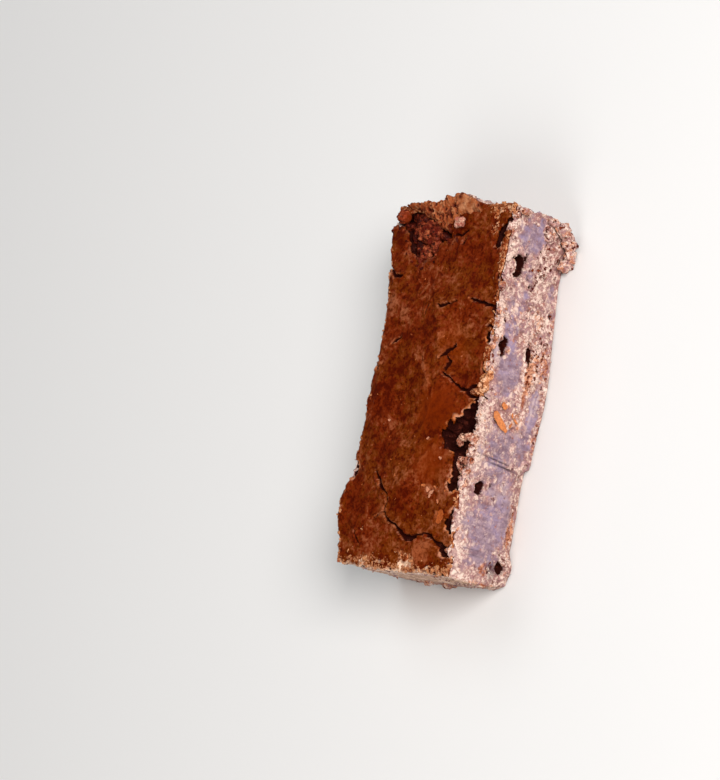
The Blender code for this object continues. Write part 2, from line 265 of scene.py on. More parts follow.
def layered(p, pitch, seed, layers=3):
    """Sum of noise at pitch, half, quarter and so on, each half as strong."""
    total, weight = np.zeros(len(p)), 0.0
    for n in range(layers):
        total += noise(p, pitch / 2.0 ** n, seed + n) / 2.0 ** n
        weight += 1.0 / 2.0 ** n
    return total / weight


def cells(p, pitch, seed):
    """Scattered points, one in each cell of the lattice: distance to the nearest in pitches, and its chance 0..1."""
    q = p / pitch
    c = np.floor(q).astype(np.int64)
    best = np.full(len(p), 9.0)
    which = np.zeros(len(p))
    for dx in (-1, 0, 1):
        for dy in (-1, 0, 1):
            for dz in (-1, 0, 1):
                n = c + (dx, dy, dz)
                h = chance(n[:, 0], n[:, 1], n[:, 2], seed)
                s = np.stack([(h & 1023), ((h >> 10) & 1023), ((h >> 20) & 1023)], axis=1) / 1023.0
                d = ((n + s - q) ** 2).sum(axis=1)
                near = d < best
                best = np.where(near, d, best)
                which = np.where(near, (h % 997) / 997.0, which)
    return np.sqrt(best), which


def plan(x, y, z=None):
    """Stacks two or three arrays of coordinates into points."""
    return np.stack([x.ravel(), y.ravel(), (np.zeros_like(x) if z is None else z).ravel()], axis=1)


# ---------------------------------------------------------------- the bar's form

def left_edge(y):
    """Far long side from above: straight, with hills and hollows."""
    return (-23.1 + bell(y, 15, 15, 2.1) + bell(y, 44, 6, -1.7) + bell(y, -35, 9, -3.5)
            + bell(y, -20, 6, -0.8))


def cut_edge_top(y):
    """Upper edge of the cut side; it leans in where the crust broke away."""
    return 23.2 + bell(y, 33, 7, -0.7) + bell(y, -8, 6, 0.8) - 1.7 * rise(-y, 21, 3) + bell(y, 50, 5, 0.6)


def cut_edge_base(y):
    """Foot of the cut side, bulging at mid length."""
    return 22.9 + bell(y, 6, 15, 1.9) + bell(y, 36, 6, -0.6)


def near_end(x, w):
    """Knife-cut end, running outwards towards the base."""
    return -50.6 - 0.9 * (1.0 - w) + bell(x, -8, 9, -0.5) + bell(x, 14, 6, 0.3)


def far_end(x, w):
    """Torn end, with a lip near the middle and a set-back foot."""
    return 52.2 + bell(x, 4, 4.5, 2.6) * rise(w, 0.55, 0.2) - 2.4 * rise(-w, -0.2, 0.1) + bell(x, -15, 5, 0.4)


def crust_level(x, y):
    """Height of the baked top: mean level, a slanting fold down the middle, slow ripples, a sunk left edge."""
    along = -2.7 + (30.6 - y) * 0.325
    level = NOMINAL_HEIGHT + 0.7 * np.exp(-((x - along) / 5.5) ** 2) * rise(y, -8, 6) * rise(-y, -36, 5)
    level += 0.55 * ripple(x, y, 21.0, 0.6)
    return level - bell(x, -23, 4, 0.7) * rise(y, -45, 5)


def inside(a, b, spots):
    """How far inside the nearest of a set of turned ellipses a point lies, in mm, and the hollow's depth there."""
    best, deep = np.full(a.shape, -50.0), np.zeros(a.shape)
    for at_a, at_b, half_a, half_b, turn, depth in spots:
        c, s = np.cos(np.radians(turn)), np.sin(np.radians(turn))
        p, q = (a - at_a) * c + (b - at_b) * s, -(a - at_a) * s + (b - at_b) * c
        e = (1.0 - np.sqrt((p / half_a) ** 2 + (q / half_b) ** 2)) * min(half_a, half_b)
        best = np.maximum(best, e)
        deep = np.maximum(deep, depth * ramp(e, -0.1, 0.45 * min(half_a, half_b)))
    return best, deep


def patches(a, b, spots, warp=1.2, seed=60):
    """Sum of soft turned ovals, each its amount times e to the minus cube of the distance in half sizes, on
    coordinates shifted by noise."""
    p = plan(a, b)
    a = a + warp * layered(p, 4.0, seed, 2).reshape(a.shape)
    b = b + warp * layered(p, 4.0, seed + 5, 2).reshape(b.shape)
    total = np.zeros(a.shape)
    for at_a, at_b, half_a, half_b, turn, amount in spots:
        c, s = np.cos(np.radians(turn)), np.sin(np.radians(turn))
        u, v = (a - at_a) * c + (b - at_b) * s, -(a - at_a) * s + (b - at_b) * c
        total += amount * np.exp(-((u / half_a) ** 2 + (v / half_b) ** 2) ** 1.5)
    return total


def within(x, y, outline):
    """Distance in mm to a closed outline, positive inside: the least distance to its sides, signed by how many
    sides a line towards +x crosses."""
    best, odd = np.full(x.shape, 1e9), np.zeros(x.shape, bool)
    for (ax, ay), (bx, by) in zip(outline, outline[1:] + outline[:1]):
        dx, dy = bx - ax, by - ay
        t = np.clip(((x - ax) * dx + (y - ay) * dy) / (dx * dx + dy * dy), 0, 1)
        best = np.minimum(best, np.hypot(x - ax - t * dx, y - ay - t * dy))
        if dy:
            odd ^= ((ay > y) != (by > y)) & (x < ax + dx * (y - ay) / dy)
    return np.where(odd, best, -best)


def opened(x, y, outlines, seed=40):
    """How far inside the torn openings a plan point lies, in mm, and how deep the crumb is hollowed there."""
    x, y = ragged(x, y, 0.66, 0.50, seed)
    best, deep = np.full(x.shape, -50.0), np.zeros(x.shape)
    for outline, depth in outlines:
        e = within(x, y, outline)
        best = np.maximum(best, e)
        deep = np.maximum(deep, depth * ramp(e, -1.0, 0.7))
    return best, deep


def ragged(x, y, big, small, seed):
    """Moves plan points by two layers of noise, so that an outline tested there comes out torn."""
    p = plan(x, y)
    dx = big * noise(p, 2.6, seed) + small * noise(p, 0.9, seed + 1)
    dy = big * noise(p, 2.6, seed + 2) + small * noise(p, 0.9, seed + 3)
    return x + dx.reshape(x.shape), y + dy.reshape(x.shape)


def folded(x, y):
    """Folds of the crust: height in mm, beside each path a crest that dies away over one reach to its left and
    another to its right, and towards both ends; and painted light, a painted highlight as a pale line on the crest
    and painted shade as a dark one down its steeper side."""
    x, y = ragged(x, y, 0.8, 0.12, 77)
    total, tone_ = np.zeros(x.shape), np.zeros(x.shape)
    for path, height, left, right in FOLDS:
        legs, best, side, along = len(path) - 1, np.full(x.shape, 1e9), np.zeros(x.shape), np.zeros(x.shape)
        for n in range(legs):
            (ax, ay), (bx, by) = path[n], path[n + 1]
            dx, dy = bx - ax, by - ay
            t = np.clip(((x - ax) * dx + (y - ay) * dy) / (dx * dx + dy * dy), 0, 1)
            d = np.hypot(x - ax - t * dx, y - ay - t * dy)
            near = d < best
            best = np.where(near, d, best)
            side = np.where(near, dx * (y - ay) - dy * (x - ax), side)
            along = np.where(near, (n + t) / legs, along)
        reach = left + (right - left) * ramp(-side, -0.6, 0.6)
        crest = np.exp(-(np.sqrt(best ** 2 + 0.04) - 0.2) / reach)
        ends = np.clip(6 * along * (1 - along), 0, 1)
        total = np.maximum(total, height * crest * ends)
        steep = ramp(side if right > left else -side, -0.3, 0.9)
        # pale crest line: painted highlight; dark band down the steeper side: painted shade
        tone_ += ends * height * (1.9 * np.exp(-(best / 0.42) ** 2) - 1.7 * steep * np.exp(-((best - 0.9) / 0.8) ** 2))
    return total, tone_


def to_cracks(x, y):
    """Distance to the nearest crack less its half width, tapering to both ends, in mm."""
    wx, wy = ragged(x, y, 0.45, 0.26, 70)
    best = np.full(x.shape, 9.0)
    swell = 1.0 + 0.45 * noise(plan(x, y), 2.6, 72).reshape(x.shape)
    for path, width in CRACKS:
        legs = len(path) - 1
        for n in range(legs):
            (ax, ay), (bx, by) = path[n], path[n + 1]
            dx, dy = bx - ax, by - ay
            t = np.clip(((wx - ax) * dx + (wy - ay) * dy) / (dx * dx + dy * dy), 0, 1)
            d = np.hypot(wx - ax - t * dx, wy - ay - t * dy)
            s = (n + t) / legs
            best = np.minimum(best, d - 0.5 * width * swell * (0.35 + 0.65 * np.sqrt(np.clip(4 * s * (1 - s), 0, 1))))
    return best


def side_at(y, z):
    """Where the cut side lies across the bar: from its foot to its upper edge in step with the height."""
    return cut_edge_base(y) + (cut_edge_top(y) - cut_edge_base(y)) * z / NOMINAL_HEIGHT


def side_run(p, normal):
    """How far along its side of the bar a point lies, shifted so that the tables of the cut side also serve the
    others: y on the cut side, 9 - y on the other long side, x - 14 on the near end, x + 20 on the torn end."""
    ends = np.where(normal[:, 1] < 0, p[:, 0] - 14.0, p[:, 0] + 20.0)
    return np.where(normal[:, 0] > 0.5, p[:, 1], np.where(normal[:, 0] < -0.5, 9.0 - p[:, 1], ends))


def crumbly(y, z):
    """How open the crumb of the cut side is, from 0 where the knife smoothed it to 1."""
    return np.clip(0.95 - patches(y, z, SMEARS), 0, 1)


# ---------------------------------------------------------------- meshes

def lattice_faces(number, flip=False):
    """Quads of a two-way table of vertex numbers."""
    a, b, c, d = number[:-1, :-1], number[1:, :-1], number[1:, 1:], number[:-1, 1:]
    return np.stack((a, d, c, b) if flip else (a, b, c, d), axis=-1).reshape(-1, 4)


def put_mesh(name, points, quads, tris=None):
    """A mesh from arrays of points (mm, layout) and faces."""
    mesh = bpy.data.meshes.new(name)
    points = settle(points)
    loops = quads.ravel() if tris is None else np.concatenate([quads.ravel(), tris.ravel()])
    starts = np.arange(len(quads)) * 4
    if tris is not None:
        starts = np.concatenate([starts, len(quads) * 4 + np.arange(len(tris)) * 3])
    mesh.vertices.add(len(points))
    mesh.vertices.foreach_set("co", points.astype(np.float32).ravel())
    mesh.loops.add(len(loops))
    mesh.loops.foreach_set("vertex_index", loops.astype(np.int32))
    mesh.polygons.add(len(starts))
    mesh.polygons.foreach_set("loop_start", starts.astype(np.int32))
    mesh.update(calc_edges=True)
    mesh.validate()
    mesh.shade_smooth()
    return mesh


def settle(points):
    """Layout millimetres to the frame's metres."""
    return (points - MIDDLE) * MM


def read_back(mesh):
    """Points in layout millimetres, and unit vertex normals, of a mesh."""
    n = len(mesh.vertices)
    co, no = np.empty(n * 3), np.empty(n * 3)
    mesh.vertices.foreach_get("co", co)
    mesh.vertex_normals.foreach_get("vector", no)
    return co.reshape(-1, 3) / MM + MIDDLE, no.reshape(-1, 3)


def write_back(mesh, points):
    """Puts layout points back into a mesh."""
    mesh.vertices.foreach_set("co", settle(points).astype(np.float32).ravel())
    mesh.update()


def put_value(mesh, name, values):
    """Stores one number for each vertex under a name that materials read."""
    layer = mesh.attributes.new(name, "FLOAT", "POINT")
    layer.data.foreach_set("value", np.ascontiguousarray(values, dtype=np.float32).ravel())


def put_crumb_values(mesh, smear, pores, rust, hollow, cream=0.0, sand=0.0, drag=0.0):
    """Stores what the crumb material reads: knife smears, pores, rust-brown crumbs, hollows painted dark as shade, pale
    dense crumb, sandy ends, and lines dragged by the knife with one patch of painted shade."""
    count = len(mesh.vertices)
    for name, value in (("smear", smear), ("pores", pores), ("rust", rust), ("hollow", hollow), ("cream", cream),
                        ("sand", sand), ("drag", drag)):
        put_value(mesh, name, np.clip(np.broadcast_to(value, count), 0, 1))


def add_piece(name, mesh, mat, stands_for=None):
    """Links a finished mesh as a piece that rides on the bar."""
    obj = bpy.data.objects.new(name, mesh)
    bpy.context.scene.collection.objects.link(obj)
    mesh.materials.append(mat)
    if len(mesh.polygons) == 0:
        raise RuntimeError(name + " has no faces")
    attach(obj, "root")
    if stands_for:
        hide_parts(stands_for)
    return obj


def box_shell(xs, ys, zs):
    """Box surface gridded on three sets of lines, open base closed by a fan: points, quads, triangles."""
    nx, ny, nz = len(xs) - 1, len(ys) - 1, len(zs) - 1
    i, j, k = np.meshgrid(np.arange(nx + 1), np.arange(ny + 1), np.arange(nz + 1), indexing="ij")
    used = (i == 0) | (i == nx) | (j == 0) | (j == ny) | (k == nz)
    number = np.full(used.shape, -1, dtype=np.int64)
    number[used] = np.arange(used.sum())
    points = np.stack([xs[i[used]], ys[j[used]], zs[k[used]]], axis=1)
    quads = np.concatenate([
        lattice_faces(number[:, :, nz]), lattice_faces(number[0], True), lattice_faces(number[nx]),
        lattice_faces(number[:, 0, :]), lattice_faces(number[:, ny, :], True)])
    rim = np.concatenate([number[:-1, 0, 0], number[nx, :-1, 0], number[:0:-1, ny, 0], number[0, :0:-1, 0]])
    hub = len(points)
    points = np.concatenate([points, [[0.0, 0.0, zs[0]]]])
    tris = np.stack([np.roll(rim, -1), rim, np.full(len(rim), hub)], axis=1)
    return points, quads, tris


def ball_shell(rings, sides):
    """Unit ball on rings by sides, with single poles: points, quads, triangles, facing out."""
    a = np.linspace(0, np.pi, rings + 1)[1:-1]
    b = np.arange(sides) * 2 * np.pi / sides
    aa, bb = np.meshgrid(a, b, indexing="ij")
    ring = plan(np.sin(aa) * np.cos(bb), np.sin(aa) * np.sin(bb), np.cos(aa))
    points = np.concatenate([ring, [[0, 0, 1.0], [0, 0, -1.0]]])
    number = np.arange(len(ring)).reshape(rings - 1, sides)
    wrapped = np.concatenate([number, number[:, :1]], axis=1)
    quads = lattice_faces(wrapped)
    top, end = len(ring), len(ring) + 1
    first, last = number[0], number[-1]
    tris = np.concatenate([
        np.stack([np.full(sides, top), first, np.roll(first, -1)], axis=1),
        np.stack([np.full(sides, end), np.roll(last, -1), last], axis=1)])
    return points, quads, tris


def gathered(low, high, dense_from, fine, coarse):
    """Grid lines from low to high, coarse up to dense_from and fine beyond."""
    a = np.linspace(low, dense_from, int(round((dense_from - low) / coarse)) + 1)
    b = np.linspace(dense_from, high, int(round((high - dense_from) / fine)) + 1)
    return np.concatenate([a, b[1:]])


def rounded(p, half, radius):
    """Points of a box surface moved on to the same box with round edges."""
    inner = np.clip(p, -(half - radius), half - radius)
    out = p - inner
    size = np.linalg.norm(out, axis=-1, keepdims=True)
    return np.where(size > 1e-9, inner + out * (radius / np.maximum(size, 1e-9)), p)


def bar_form(points, cover):
    """Takes centred box points to the bar's form, its top lowered by cover, and says where on the box they lay."""
    half = np.array([NOMINAL_WIDTH, NOMINAL_LENGTH, NOMINAL_HEIGHT]) / 2.0
    u, v = points[:, 0] / half[0], points[:, 1] / half[1]
    w = points[:, 2] / NOMINAL_HEIGHT + 0.5
    y = points[:, 1] + FAR_SHIFT
    right = cut_edge_base(y) + (cut_edge_top(y) - cut_edge_base(y)) * w
    left = left_edge(y) + 0.8 * (1.0 - w)
    x = left + (right - left) * (u + 1.0) / 2.0
    y = near_end(x, w) + (far_end(x, w) - near_end(x, w)) * (v + 1.0) / 2.0
    z = w * (crust_level(x, y) - cover)
    worn = np.clip((x - 17.5) / 5.0, 0, 1) * np.clip((-44.5 - y) / 6.0, 0, 1) * np.clip(1.0 - z / 9.0, 0, 1)
    x, y = x - 1.3 * worn, y + 1.56 * worn
    return np.stack([x, y, z], axis=1), u, v, w


# ---------------------------------------------------------------- material tools

def tone(r, g, b):
    """Screen colour 0..255 to the linear colour that shaders take."""
    c = np.array([r, g, b]) / 255.0
    c = np.where(c <= 0.04045, c / 12.92, ((c + 0.055) / 1.055) ** 2.4)
    return (float(c[0]), float(c[1]), float(c[2]), 1.0)


class Nodes:
    """Short hand for placing and linking nodes in a tree."""

    def __init__(self, tree):
        self.tree = tree
        self.count = 0

    def add(self, kind, **settings):
        node = self.tree.nodes.new(kind)
        node.location = (-1600 + 190 * (self.count % 9), 500 - 260 * (self.count // 9))
        self.count += 1
        for key, value in settings.items():
            setattr(node, key, value)
        return node

    def feed(self, node, **inputs):
        for key, value in inputs.items():
            socket = node.inputs[int(key[1:])] if key[0] == "i" and key[1:].isdigit() else node.inputs[key.replace("_", " ")]
            if isinstance(value, bpy.types.NodeSocket):
                self.tree.links.new(value, socket)
            else:
                socket.default_value = value
        return node

    def noise(self, vector, pitch_mm, detail=3.0, rough=0.55, distort=0.0):
        n = self.add("ShaderNodeTexNoise")
        return self.feed(n, Vector=vector, Scale=1000.0 / pitch_mm, Detail=detail, Roughness=rough,
                         Distortion=distort).outputs["Fac"]

    def dots(self, vector, pitch_mm, feature="F1"):
        """Scattered cells: distance to the middle, and two chance numbers of the cell."""
        n = self.feed(self.add("ShaderNodeTexVoronoi", feature=feature), Vector=vector, Scale=1000.0 / pitch_mm)
        if feature == "SMOOTH_F1":
            n.inputs["Smoothness"].default_value = 0.3
        parts = self.feed(self.add("ShaderNodeSeparateColor"), i0=n.outputs["Color"])
        return n.outputs["Distance"], parts.outputs[0], parts.outputs[1]

    def shake(self, vector, pitch_mm, amount_mm):
        """The vector moved to and fro by coloured noise."""
        n = self.feed(self.add("ShaderNodeTexNoise"), Vector=vector, Scale=1000.0 / pitch_mm, Detail=1.0)
        k = 0.002 * amount_mm
        return self.feed(self.add("ShaderNodeVectorMath", operation="MULTIPLY_ADD"), i0=n.outputs["Color"],
                         i1=(k, k, k), i2=vector).outputs[0]

    def ramp(self, value, low, high, from_=0.0, to=1.0):
        n = self.add("ShaderNodeMapRange", interpolation_type="SMOOTHSTEP")
        return self.feed(n, i0=value, i1=low, i2=high, i3=from_, i4=to).outputs[0]

    def math(self, kind, a, b=None):
        n = self.add("ShaderNodeMath", operation=kind)
        self.feed(n, i0=a)
        if b is not None:
            self.feed(n, i1=b)
        return n.outputs[0]

    def mix(self, fac, a, b, kind="MIX"):
        n = self.add("ShaderNodeMix", data_type="RGBA", blend_type=kind)
        self.feed(n, i0=fac, i6=a, i7=b)
        return n.outputs[2]

    def value(self, name):
        return self.add("ShaderNodeAttribute", attribute_name=name).outputs["Fac"]

    def place(self):
        return self.add("ShaderNodeTexCoord").outputs["Object"]


def new_group(name, inputs, outputs):
    """A shader node group with its sockets, and its tools."""
    tree = bpy.data.node_groups.new(name, "ShaderNodeTree")
    for label, kind in inputs:
        tree.interface.new_socket(name=label, in_out="INPUT", socket_type=kind)
    for label, kind in outputs:
        tree.interface.new_socket(name=label, in_out="OUTPUT", socket_type=kind)
    n = Nodes(tree)
    start, end = n.add("NodeGroupInput"), n.add("NodeGroupOutput")
    return tree, n, start, end


def grain_group():
    """Open crumb: crumbs of two sizes, each with its own tone by chance, and curds parted by thin gaps where a
    noise crosses its middle. Grain is 1 on pale crumbs and cores on the palest, which the materials paint as
    highlights, both spreading with density; pits are dark pores, more of them with pores; tint turns from pink to
    cream; height is the relief of all."""
    name = "open_crumb_grain"
    if name in bpy.data.node_groups:
        return bpy.data.node_groups[name]
    tree, n, start, end = new_group(
        name, [("Vector", "NodeSocketVector"), ("Density", "NodeSocketFloat"), ("Pores", "NodeSocketFloat")],
        [(label, "NodeSocketFloat") for label in ("Grain", "Cores", "Pits", "Tint", "Height")])
    vec, density, pores = (start.outputs[label] for label in ("Vector", "Density", "Pores"))
    shaken = n.shake(vec, 0.8, 0.6)
    far, tone_, hue = n.dots(shaken, 1.00, "SMOOTH_F1")
    tone_small = n.dots(shaken, 0.50, "SMOOTH_F1")[1]
    curd = n.ramp(n.math("ABSOLUTE", n.math("SUBTRACT", n.noise(vec, 1.5, 2.0, 0.5, 0.3), 0.5)), 0.0, 0.09)
    field = n.math("ADD", n.math("ADD", n.math("MULTIPLY", tone_, 0.18), n.math("MULTIPLY", tone_small, 0.14)),
                   n.math("ADD", n.math("MULTIPLY", curd, 0.14), n.math("MULTIPLY", n.noise(vec, 2.4, 4.0, 0.58), 0.60)))
    lifted = n.math("ADD", field, n.math("MULTIPLY", density, 0.13))
    grain = n.ramp(lifted, 0.46, 0.80)
    cores = n.ramp(lifted, 0.64, 0.86)
    gap, lot, _ = n.dots(n.shake(vec, 0.8, 0.8), 1.3)
    chosen = n.ramp(n.math("SUBTRACT", lot, n.math("MULTIPLY", pores, 0.62)), -0.03, 0.03, 1.0, 0.0)
    pits = n.math("MULTIPLY", chosen, n.ramp(gap, 0.26, 0.44, 1.0, 0.0))
    tint = n.ramp(n.math("ADD", n.math("MULTIPLY", hue, 0.4), n.math("MULTIPLY", n.noise(vec, 2.2, 3.0, 0.6, 0.4), 0.6)),
                  0.40, 0.60)
    height = n.math("SUBTRACT", n.math("SUBTRACT", n.math("MULTIPLY", field, 1.8), n.math("MULTIPLY", far, 0.5)),
                    n.math("MULTIPLY", pits, 1.2))
    n.feed(end, Grain=grain, Cores=cores, Pits=pits, Tint=tint, Height=height)
    return tree


def baked_group():
    """Baked skin: Sheen is the cloudy pale bloom, mostly painted sheen; net the fine dark wrinkles, redness slow
    patches of redder brown, height the fine relief."""
    name = "baked_skin"
    if name in bpy.data.node_groups:
        return bpy.data.node_groups[name]
    tree, n, start, end = new_group(name, [("Vector", "NodeSocketVector")],
                                    [(label, "NodeSocketFloat") for label in ("Film", "Net", "Redness", "Height")])
    vec = start.outputs["Vector"]
    slow = n.noise(vec, 6.5, 3.0, 0.6, 0.6)
    mid = n.noise(vec, 2.0, 3.0, 0.62, 0.35)
    fine = n.noise(vec, 0.75, 3.0, 0.66, 0.15)
    film_sheen = n.math("ADD", n.math("MULTIPLY", slow, 0.38),
                  n.math("ADD", n.math("MULTIPLY", mid, 0.36), n.math("MULTIPLY", fine, 0.26)))
    net = n.ramp(n.math("ADD", n.math("MULTIPLY", mid, 0.4), n.math("MULTIPLY", fine, 0.6)), 0.38, 0.50, 1.0, 0.0)
    redness = n.ramp(n.math("ADD", n.math("MULTIPLY", n.noise(vec, 9.0, 2.0, 0.5, 0.5), 0.5),
                            n.math("MULTIPLY", n.noise(vec, 1.5, 2.0, 0.6, 0.3), 0.5)), 0.44, 0.56)
    height = n.math("ADD", mid, n.math("MULTIPLY", fine, 0.5))
    n.feed(end, Film=film_sheen, Net=net, Redness=redness, Height=height)
    return tree


def new_material(name, rough, level):
    """A material with its Principled shader and the tools for its tree."""
    mat = bpy.data.materials.new(name)
    mat.use_nodes = True
    shader = mat.node_tree.nodes["Principled BSDF"]
    shader.location = (500, 300)
    mat.node_tree.nodes["Material Output"].location = (800, 300)
    shader.inputs["Specular IOR Level"].default_value = level
    shader.inputs["Roughness"].default_value = rough
    return mat, Nodes(mat.node_tree), shader


def crumb_colour(n, vec, colours, smear, pores, rust, cream):
    """Colour of cut or torn crumb and the group node that made it: smears whose lilac tone is painted sheen of cool
    light, pink to cream crumbs with pale cores that carry a painted highlight, rust-brown crumbs and dark pits, the
    paler the more cream."""
    g = n.feed(n.add("ShaderNodeGroup", node_tree=grain_group()), Vector=vec,
               Density=n.math("ADD", n.math("SUBTRACT", 1.0, smear), n.math("MULTIPLY", cream, 0.7)),
               Pores=n.math("ADD", pores, n.math("MULTIPLY", n.math("SUBTRACT", 1.0, smear), 0.10)))
    drawn = n.add("ShaderNodeMapping")
    n.feed(drawn, Vector=vec, Scale=(1.0, 1.0, 0.34))
    streak = n.ramp(n.noise(drawn.outputs[0], 2.4, 4.0, 0.62, 0.2), 0.36, 0.62)
    # lilac and blue tone of the smears: painted sheen of cool light on the smoothed crumb
    violet = n.ramp(n.noise(vec, 7.0, 2.0, 0.5, 0.3), 0.44, 0.60)
    smeared = n.mix(n.math("MULTIPLY", violet, 0.6), n.mix(streak, colours["smear_dark"], colours["smear"]),
                    n.mix(streak, colours["smear_dark"], colours["smear_violet"]))
    mottle = n.ramp(n.noise(vec, 1.7, 3.0, 0.6, 0.3), 0.46, 0.70)
    smeared = n.mix(n.math("MULTIPLY", mottle, 0.40), smeared, colours["smear_light"])
    cloud = n.ramp(n.noise(vec, 4.0, 2.0, 0.5, 0.2), 0.38, 0.62)
    low = n.mix(n.ramp(smear, 0.0, 0.80), n.mix(cloud, colours["gap"], colours["gap_light"]), smeared)
    grain = n.mix(g.outputs["Tint"], colours["grain_pink"], colours["grain"])
    grain = n.mix(n.ramp(smear, 0.2, 1.0, 0.0, 0.75), grain, colours["smear_light"])
    colour = n.mix(n.math("MULTIPLY", g.outputs["Grain"], n.ramp(smear, 0.3, 1.0, 1.0, 0.5)), low, grain)
    # pale cores: paler crumb with a painted highlight
    colour = n.mix(n.math("MULTIPLY", g.outputs["Cores"], n.ramp(smear, 0.0, 0.9, 1.0, 0.25)), colour, colours["spark"])
    colour = n.mix(n.math("MULTIPLY", cream, 0.30), colour, colours["spark"])
    burnt = n.ramp(n.math("ADD", n.math("MULTIPLY", rust, 0.30), n.noise(vec, 1.3, 2.0, 0.6, 0.3)), 0.60, 0.80)
    colour = n.mix(n.math("MULTIPLY", burnt, 0.85), colour,
                   n.mix(g.outputs["Grain"], colours["rust_low"], colours["rust_high"]))
    deep = n.math("MULTIPLY", g.outputs["Pits"], n.ramp(pores, 0.0, 0.5, 0.6, 1.0))
    colour = n.mix(deep, colour, n.mix(g.outputs["Tint"], colours["pit"], colours["pit_rust"]))
    return colour, g


def crumb_material(colours):
    """Cut crumb, with lines dragged by the knife, and painted shade deep in its holes and on its top under the broken
    crust.
    """
    if "open crumb" in bpy.data.materials:
        return bpy.data.materials["open crumb"]
    mat, n, shader = new_material("open crumb", 0.6, 0.06)
    vec = n.place()
    smear, hollow = n.value("smear"), n.value("hollow")
    colour, g = crumb_colour(n, vec, colours, smear, n.value("pores"), n.value("rust"), n.value("cream"))
    combed = n.add("ShaderNodeMapping")
    n.feed(combed, Vector=vec, Scale=(0.45, 0.6, 1.0))
    layers = n.ramp(n.noise(combed.outputs[0], 1.6, 4.0, 0.66, 0.4), 0.30, 0.70)
    sandy = n.mix(n.math("ADD", n.math("MULTIPLY", g.outputs["Grain"], 0.60), n.math("MULTIPLY", layers, 0.40)),
                  colours["sand_low"], colours["sand_high"])
    sandy = n.mix(n.math("MULTIPLY", g.outputs["Cores"], 0.8), sandy, colours["spark"])
    sandy = n.mix(g.outputs["Pits"], sandy, colours["pit"])
    sandy = n.mix(n.math("MULTIPLY", n.value("cream"), n.ramp(g.outputs["Grain"], 0.1, 0.7, 0.15, 0.85)),
                  sandy, colours["spark"])
    colour = n.mix(n.math("MULTIPLY", n.value("sand"), 0.85), colour, sandy)
    colour = n.mix(n.value("drag"), colour, colours["drag"])
    # inside holes and under the broken crust: painted shade over dark moist crumb, with a few lighter crumbs
    inner = n.mix(n.ramp(n.noise(vec, 1.4, 3.0, 0.6, 0.4), 0.54, 0.74), colours["hollow"], colours["hollow_crumb"])
    colour = n.mix(n.ramp(hollow, 0.15, 0.6), colour, inner)
    bump = n.add("ShaderNodeBump")
    n.feed(bump, Strength=1.0, Distance=0.0003,
           Height=n.math("MULTIPLY", g.outputs["Height"], n.ramp(smear, 0.0, 1.0, 1.0, 0.35)))
    n.feed(shader, Base_Color=colour, Normal=bump.outputs["Normal"], Roughness=n.ramp(smear, 0.2, 0.8, 0.75, 0.48))
    return mat


def crust_material(colours):
    """Thin baked crust: dark red-brown under a cloudy pale bloom that is mostly painted sheen, with a fine dark net,
    smoother orange parts, crumbly borders, torn lips partly lightened by painted highlight, and cracks and underside
    painted near-black as shade."""
    if "baked crust" in bpy.data.materials:
        return bpy.data.materials["baked crust"]
    mat, n, shader = new_material("baked crust", 0.5, 0.03)
    vec = n.place()
    g = n.feed(n.add("ShaderNodeGroup", node_tree=baked_group()), Vector=vec)
    tone_, even, crack, lip, fray = (n.value(name) for name in ("tone", "even", "crack", "lip", "fray"))
    swing = n.math("MULTIPLY", n.math("SUBTRACT", g.outputs["Film"], 0.5), n.ramp(even, 0.0, 1.0, 4.0, 1.5))
    film_sheen = n.math("ADD", n.math("ADD", swing, 0.42), n.math("MULTIPLY", tone_, 0.55))
    colour = n.mix(n.ramp(film_sheen, 0.0, 0.55), colours["crust_dark"],
                   n.mix(even, n.mix(g.outputs["Redness"], colours["crust_mid"], colours["crust_red"]), colours["crust_glow"]))
    colour = n.mix(n.ramp(film_sheen, 0.45, 1.05), colour, n.mix(even, colours["crust_film_sheen"], colours["crust_shine"]))
    colour = n.mix(n.math("MULTIPLY", g.outputs["Net"], n.ramp(even, 0.1, 0.9, 0.6, 0.1)), colour, colours["crust_speck"])
    c = n.feed(n.add("ShaderNodeGroup", node_tree=grain_group()), Vector=vec, Density=0.6, Pores=0.6)
    crumb = n.mix(c.outputs["Grain"], n.mix(c.outputs["Tint"], colours["crust_red"], colours["rust_low"]),
                  n.mix(c.outputs["Tint"], colours["lip"], colours["fray"]))
    crumb = n.mix(n.math("MULTIPLY", c.outputs["Cores"], 0.4), crumb, colours["sand_high"])
    crumb = n.mix(n.math("MULTIPLY", c.outputs["Pits"], 0.9), crumb, colours["pit"])
    torn = n.ramp(n.math("ADD", fray, n.math("MULTIPLY", n.math("SUBTRACT", c.outputs["Grain"], 0.5), 0.8)), 0.55, 0.8)
    colour = n.mix(torn, colour, crumb)
    colour = n.mix(n.math("MULTIPLY", n.value("rim"), n.ramp(c.outputs["Grain"], 0.0, 0.5, 0.5, 1.0)), colour,
                   colours["sand_high"])
    # pale lips at torn openings and beside cracks: torn crust edge with a painted highlight
    colour = n.mix(lip, colour, n.mix(n.ramp(n.noise(vec, 1.8, 2.0), 0.40, 0.60), colours["lip"], colours["lip_pale"]))
    # near-black in the cracks and on the crust's underside: painted shade over the dark crumb
    colour = n.mix(n.ramp(crack, 0.0, 0.18, 1.0, 0.0), colour, colours["hollow"])
    bump = n.add("ShaderNodeBump")
    n.feed(bump, Strength=0.8, Distance=0.00025,
           Height=n.math("ADD", n.math("MULTIPLY", g.outputs["Height"], n.ramp(even, 0.0, 1.0, 1.0, 0.35)),
                         n.math("MULTIPLY", torn, c.outputs["Height"])))
    n.feed(shader, Base_Color=colour, Normal=bump.outputs["Normal"],
           Roughness=n.math("MAXIMUM", n.ramp(film_sheen, 0.0, 1.0, 0.5, 0.36), n.ramp(crack, 0.0, 0.18, 1.0, 0.0)))
    return mat


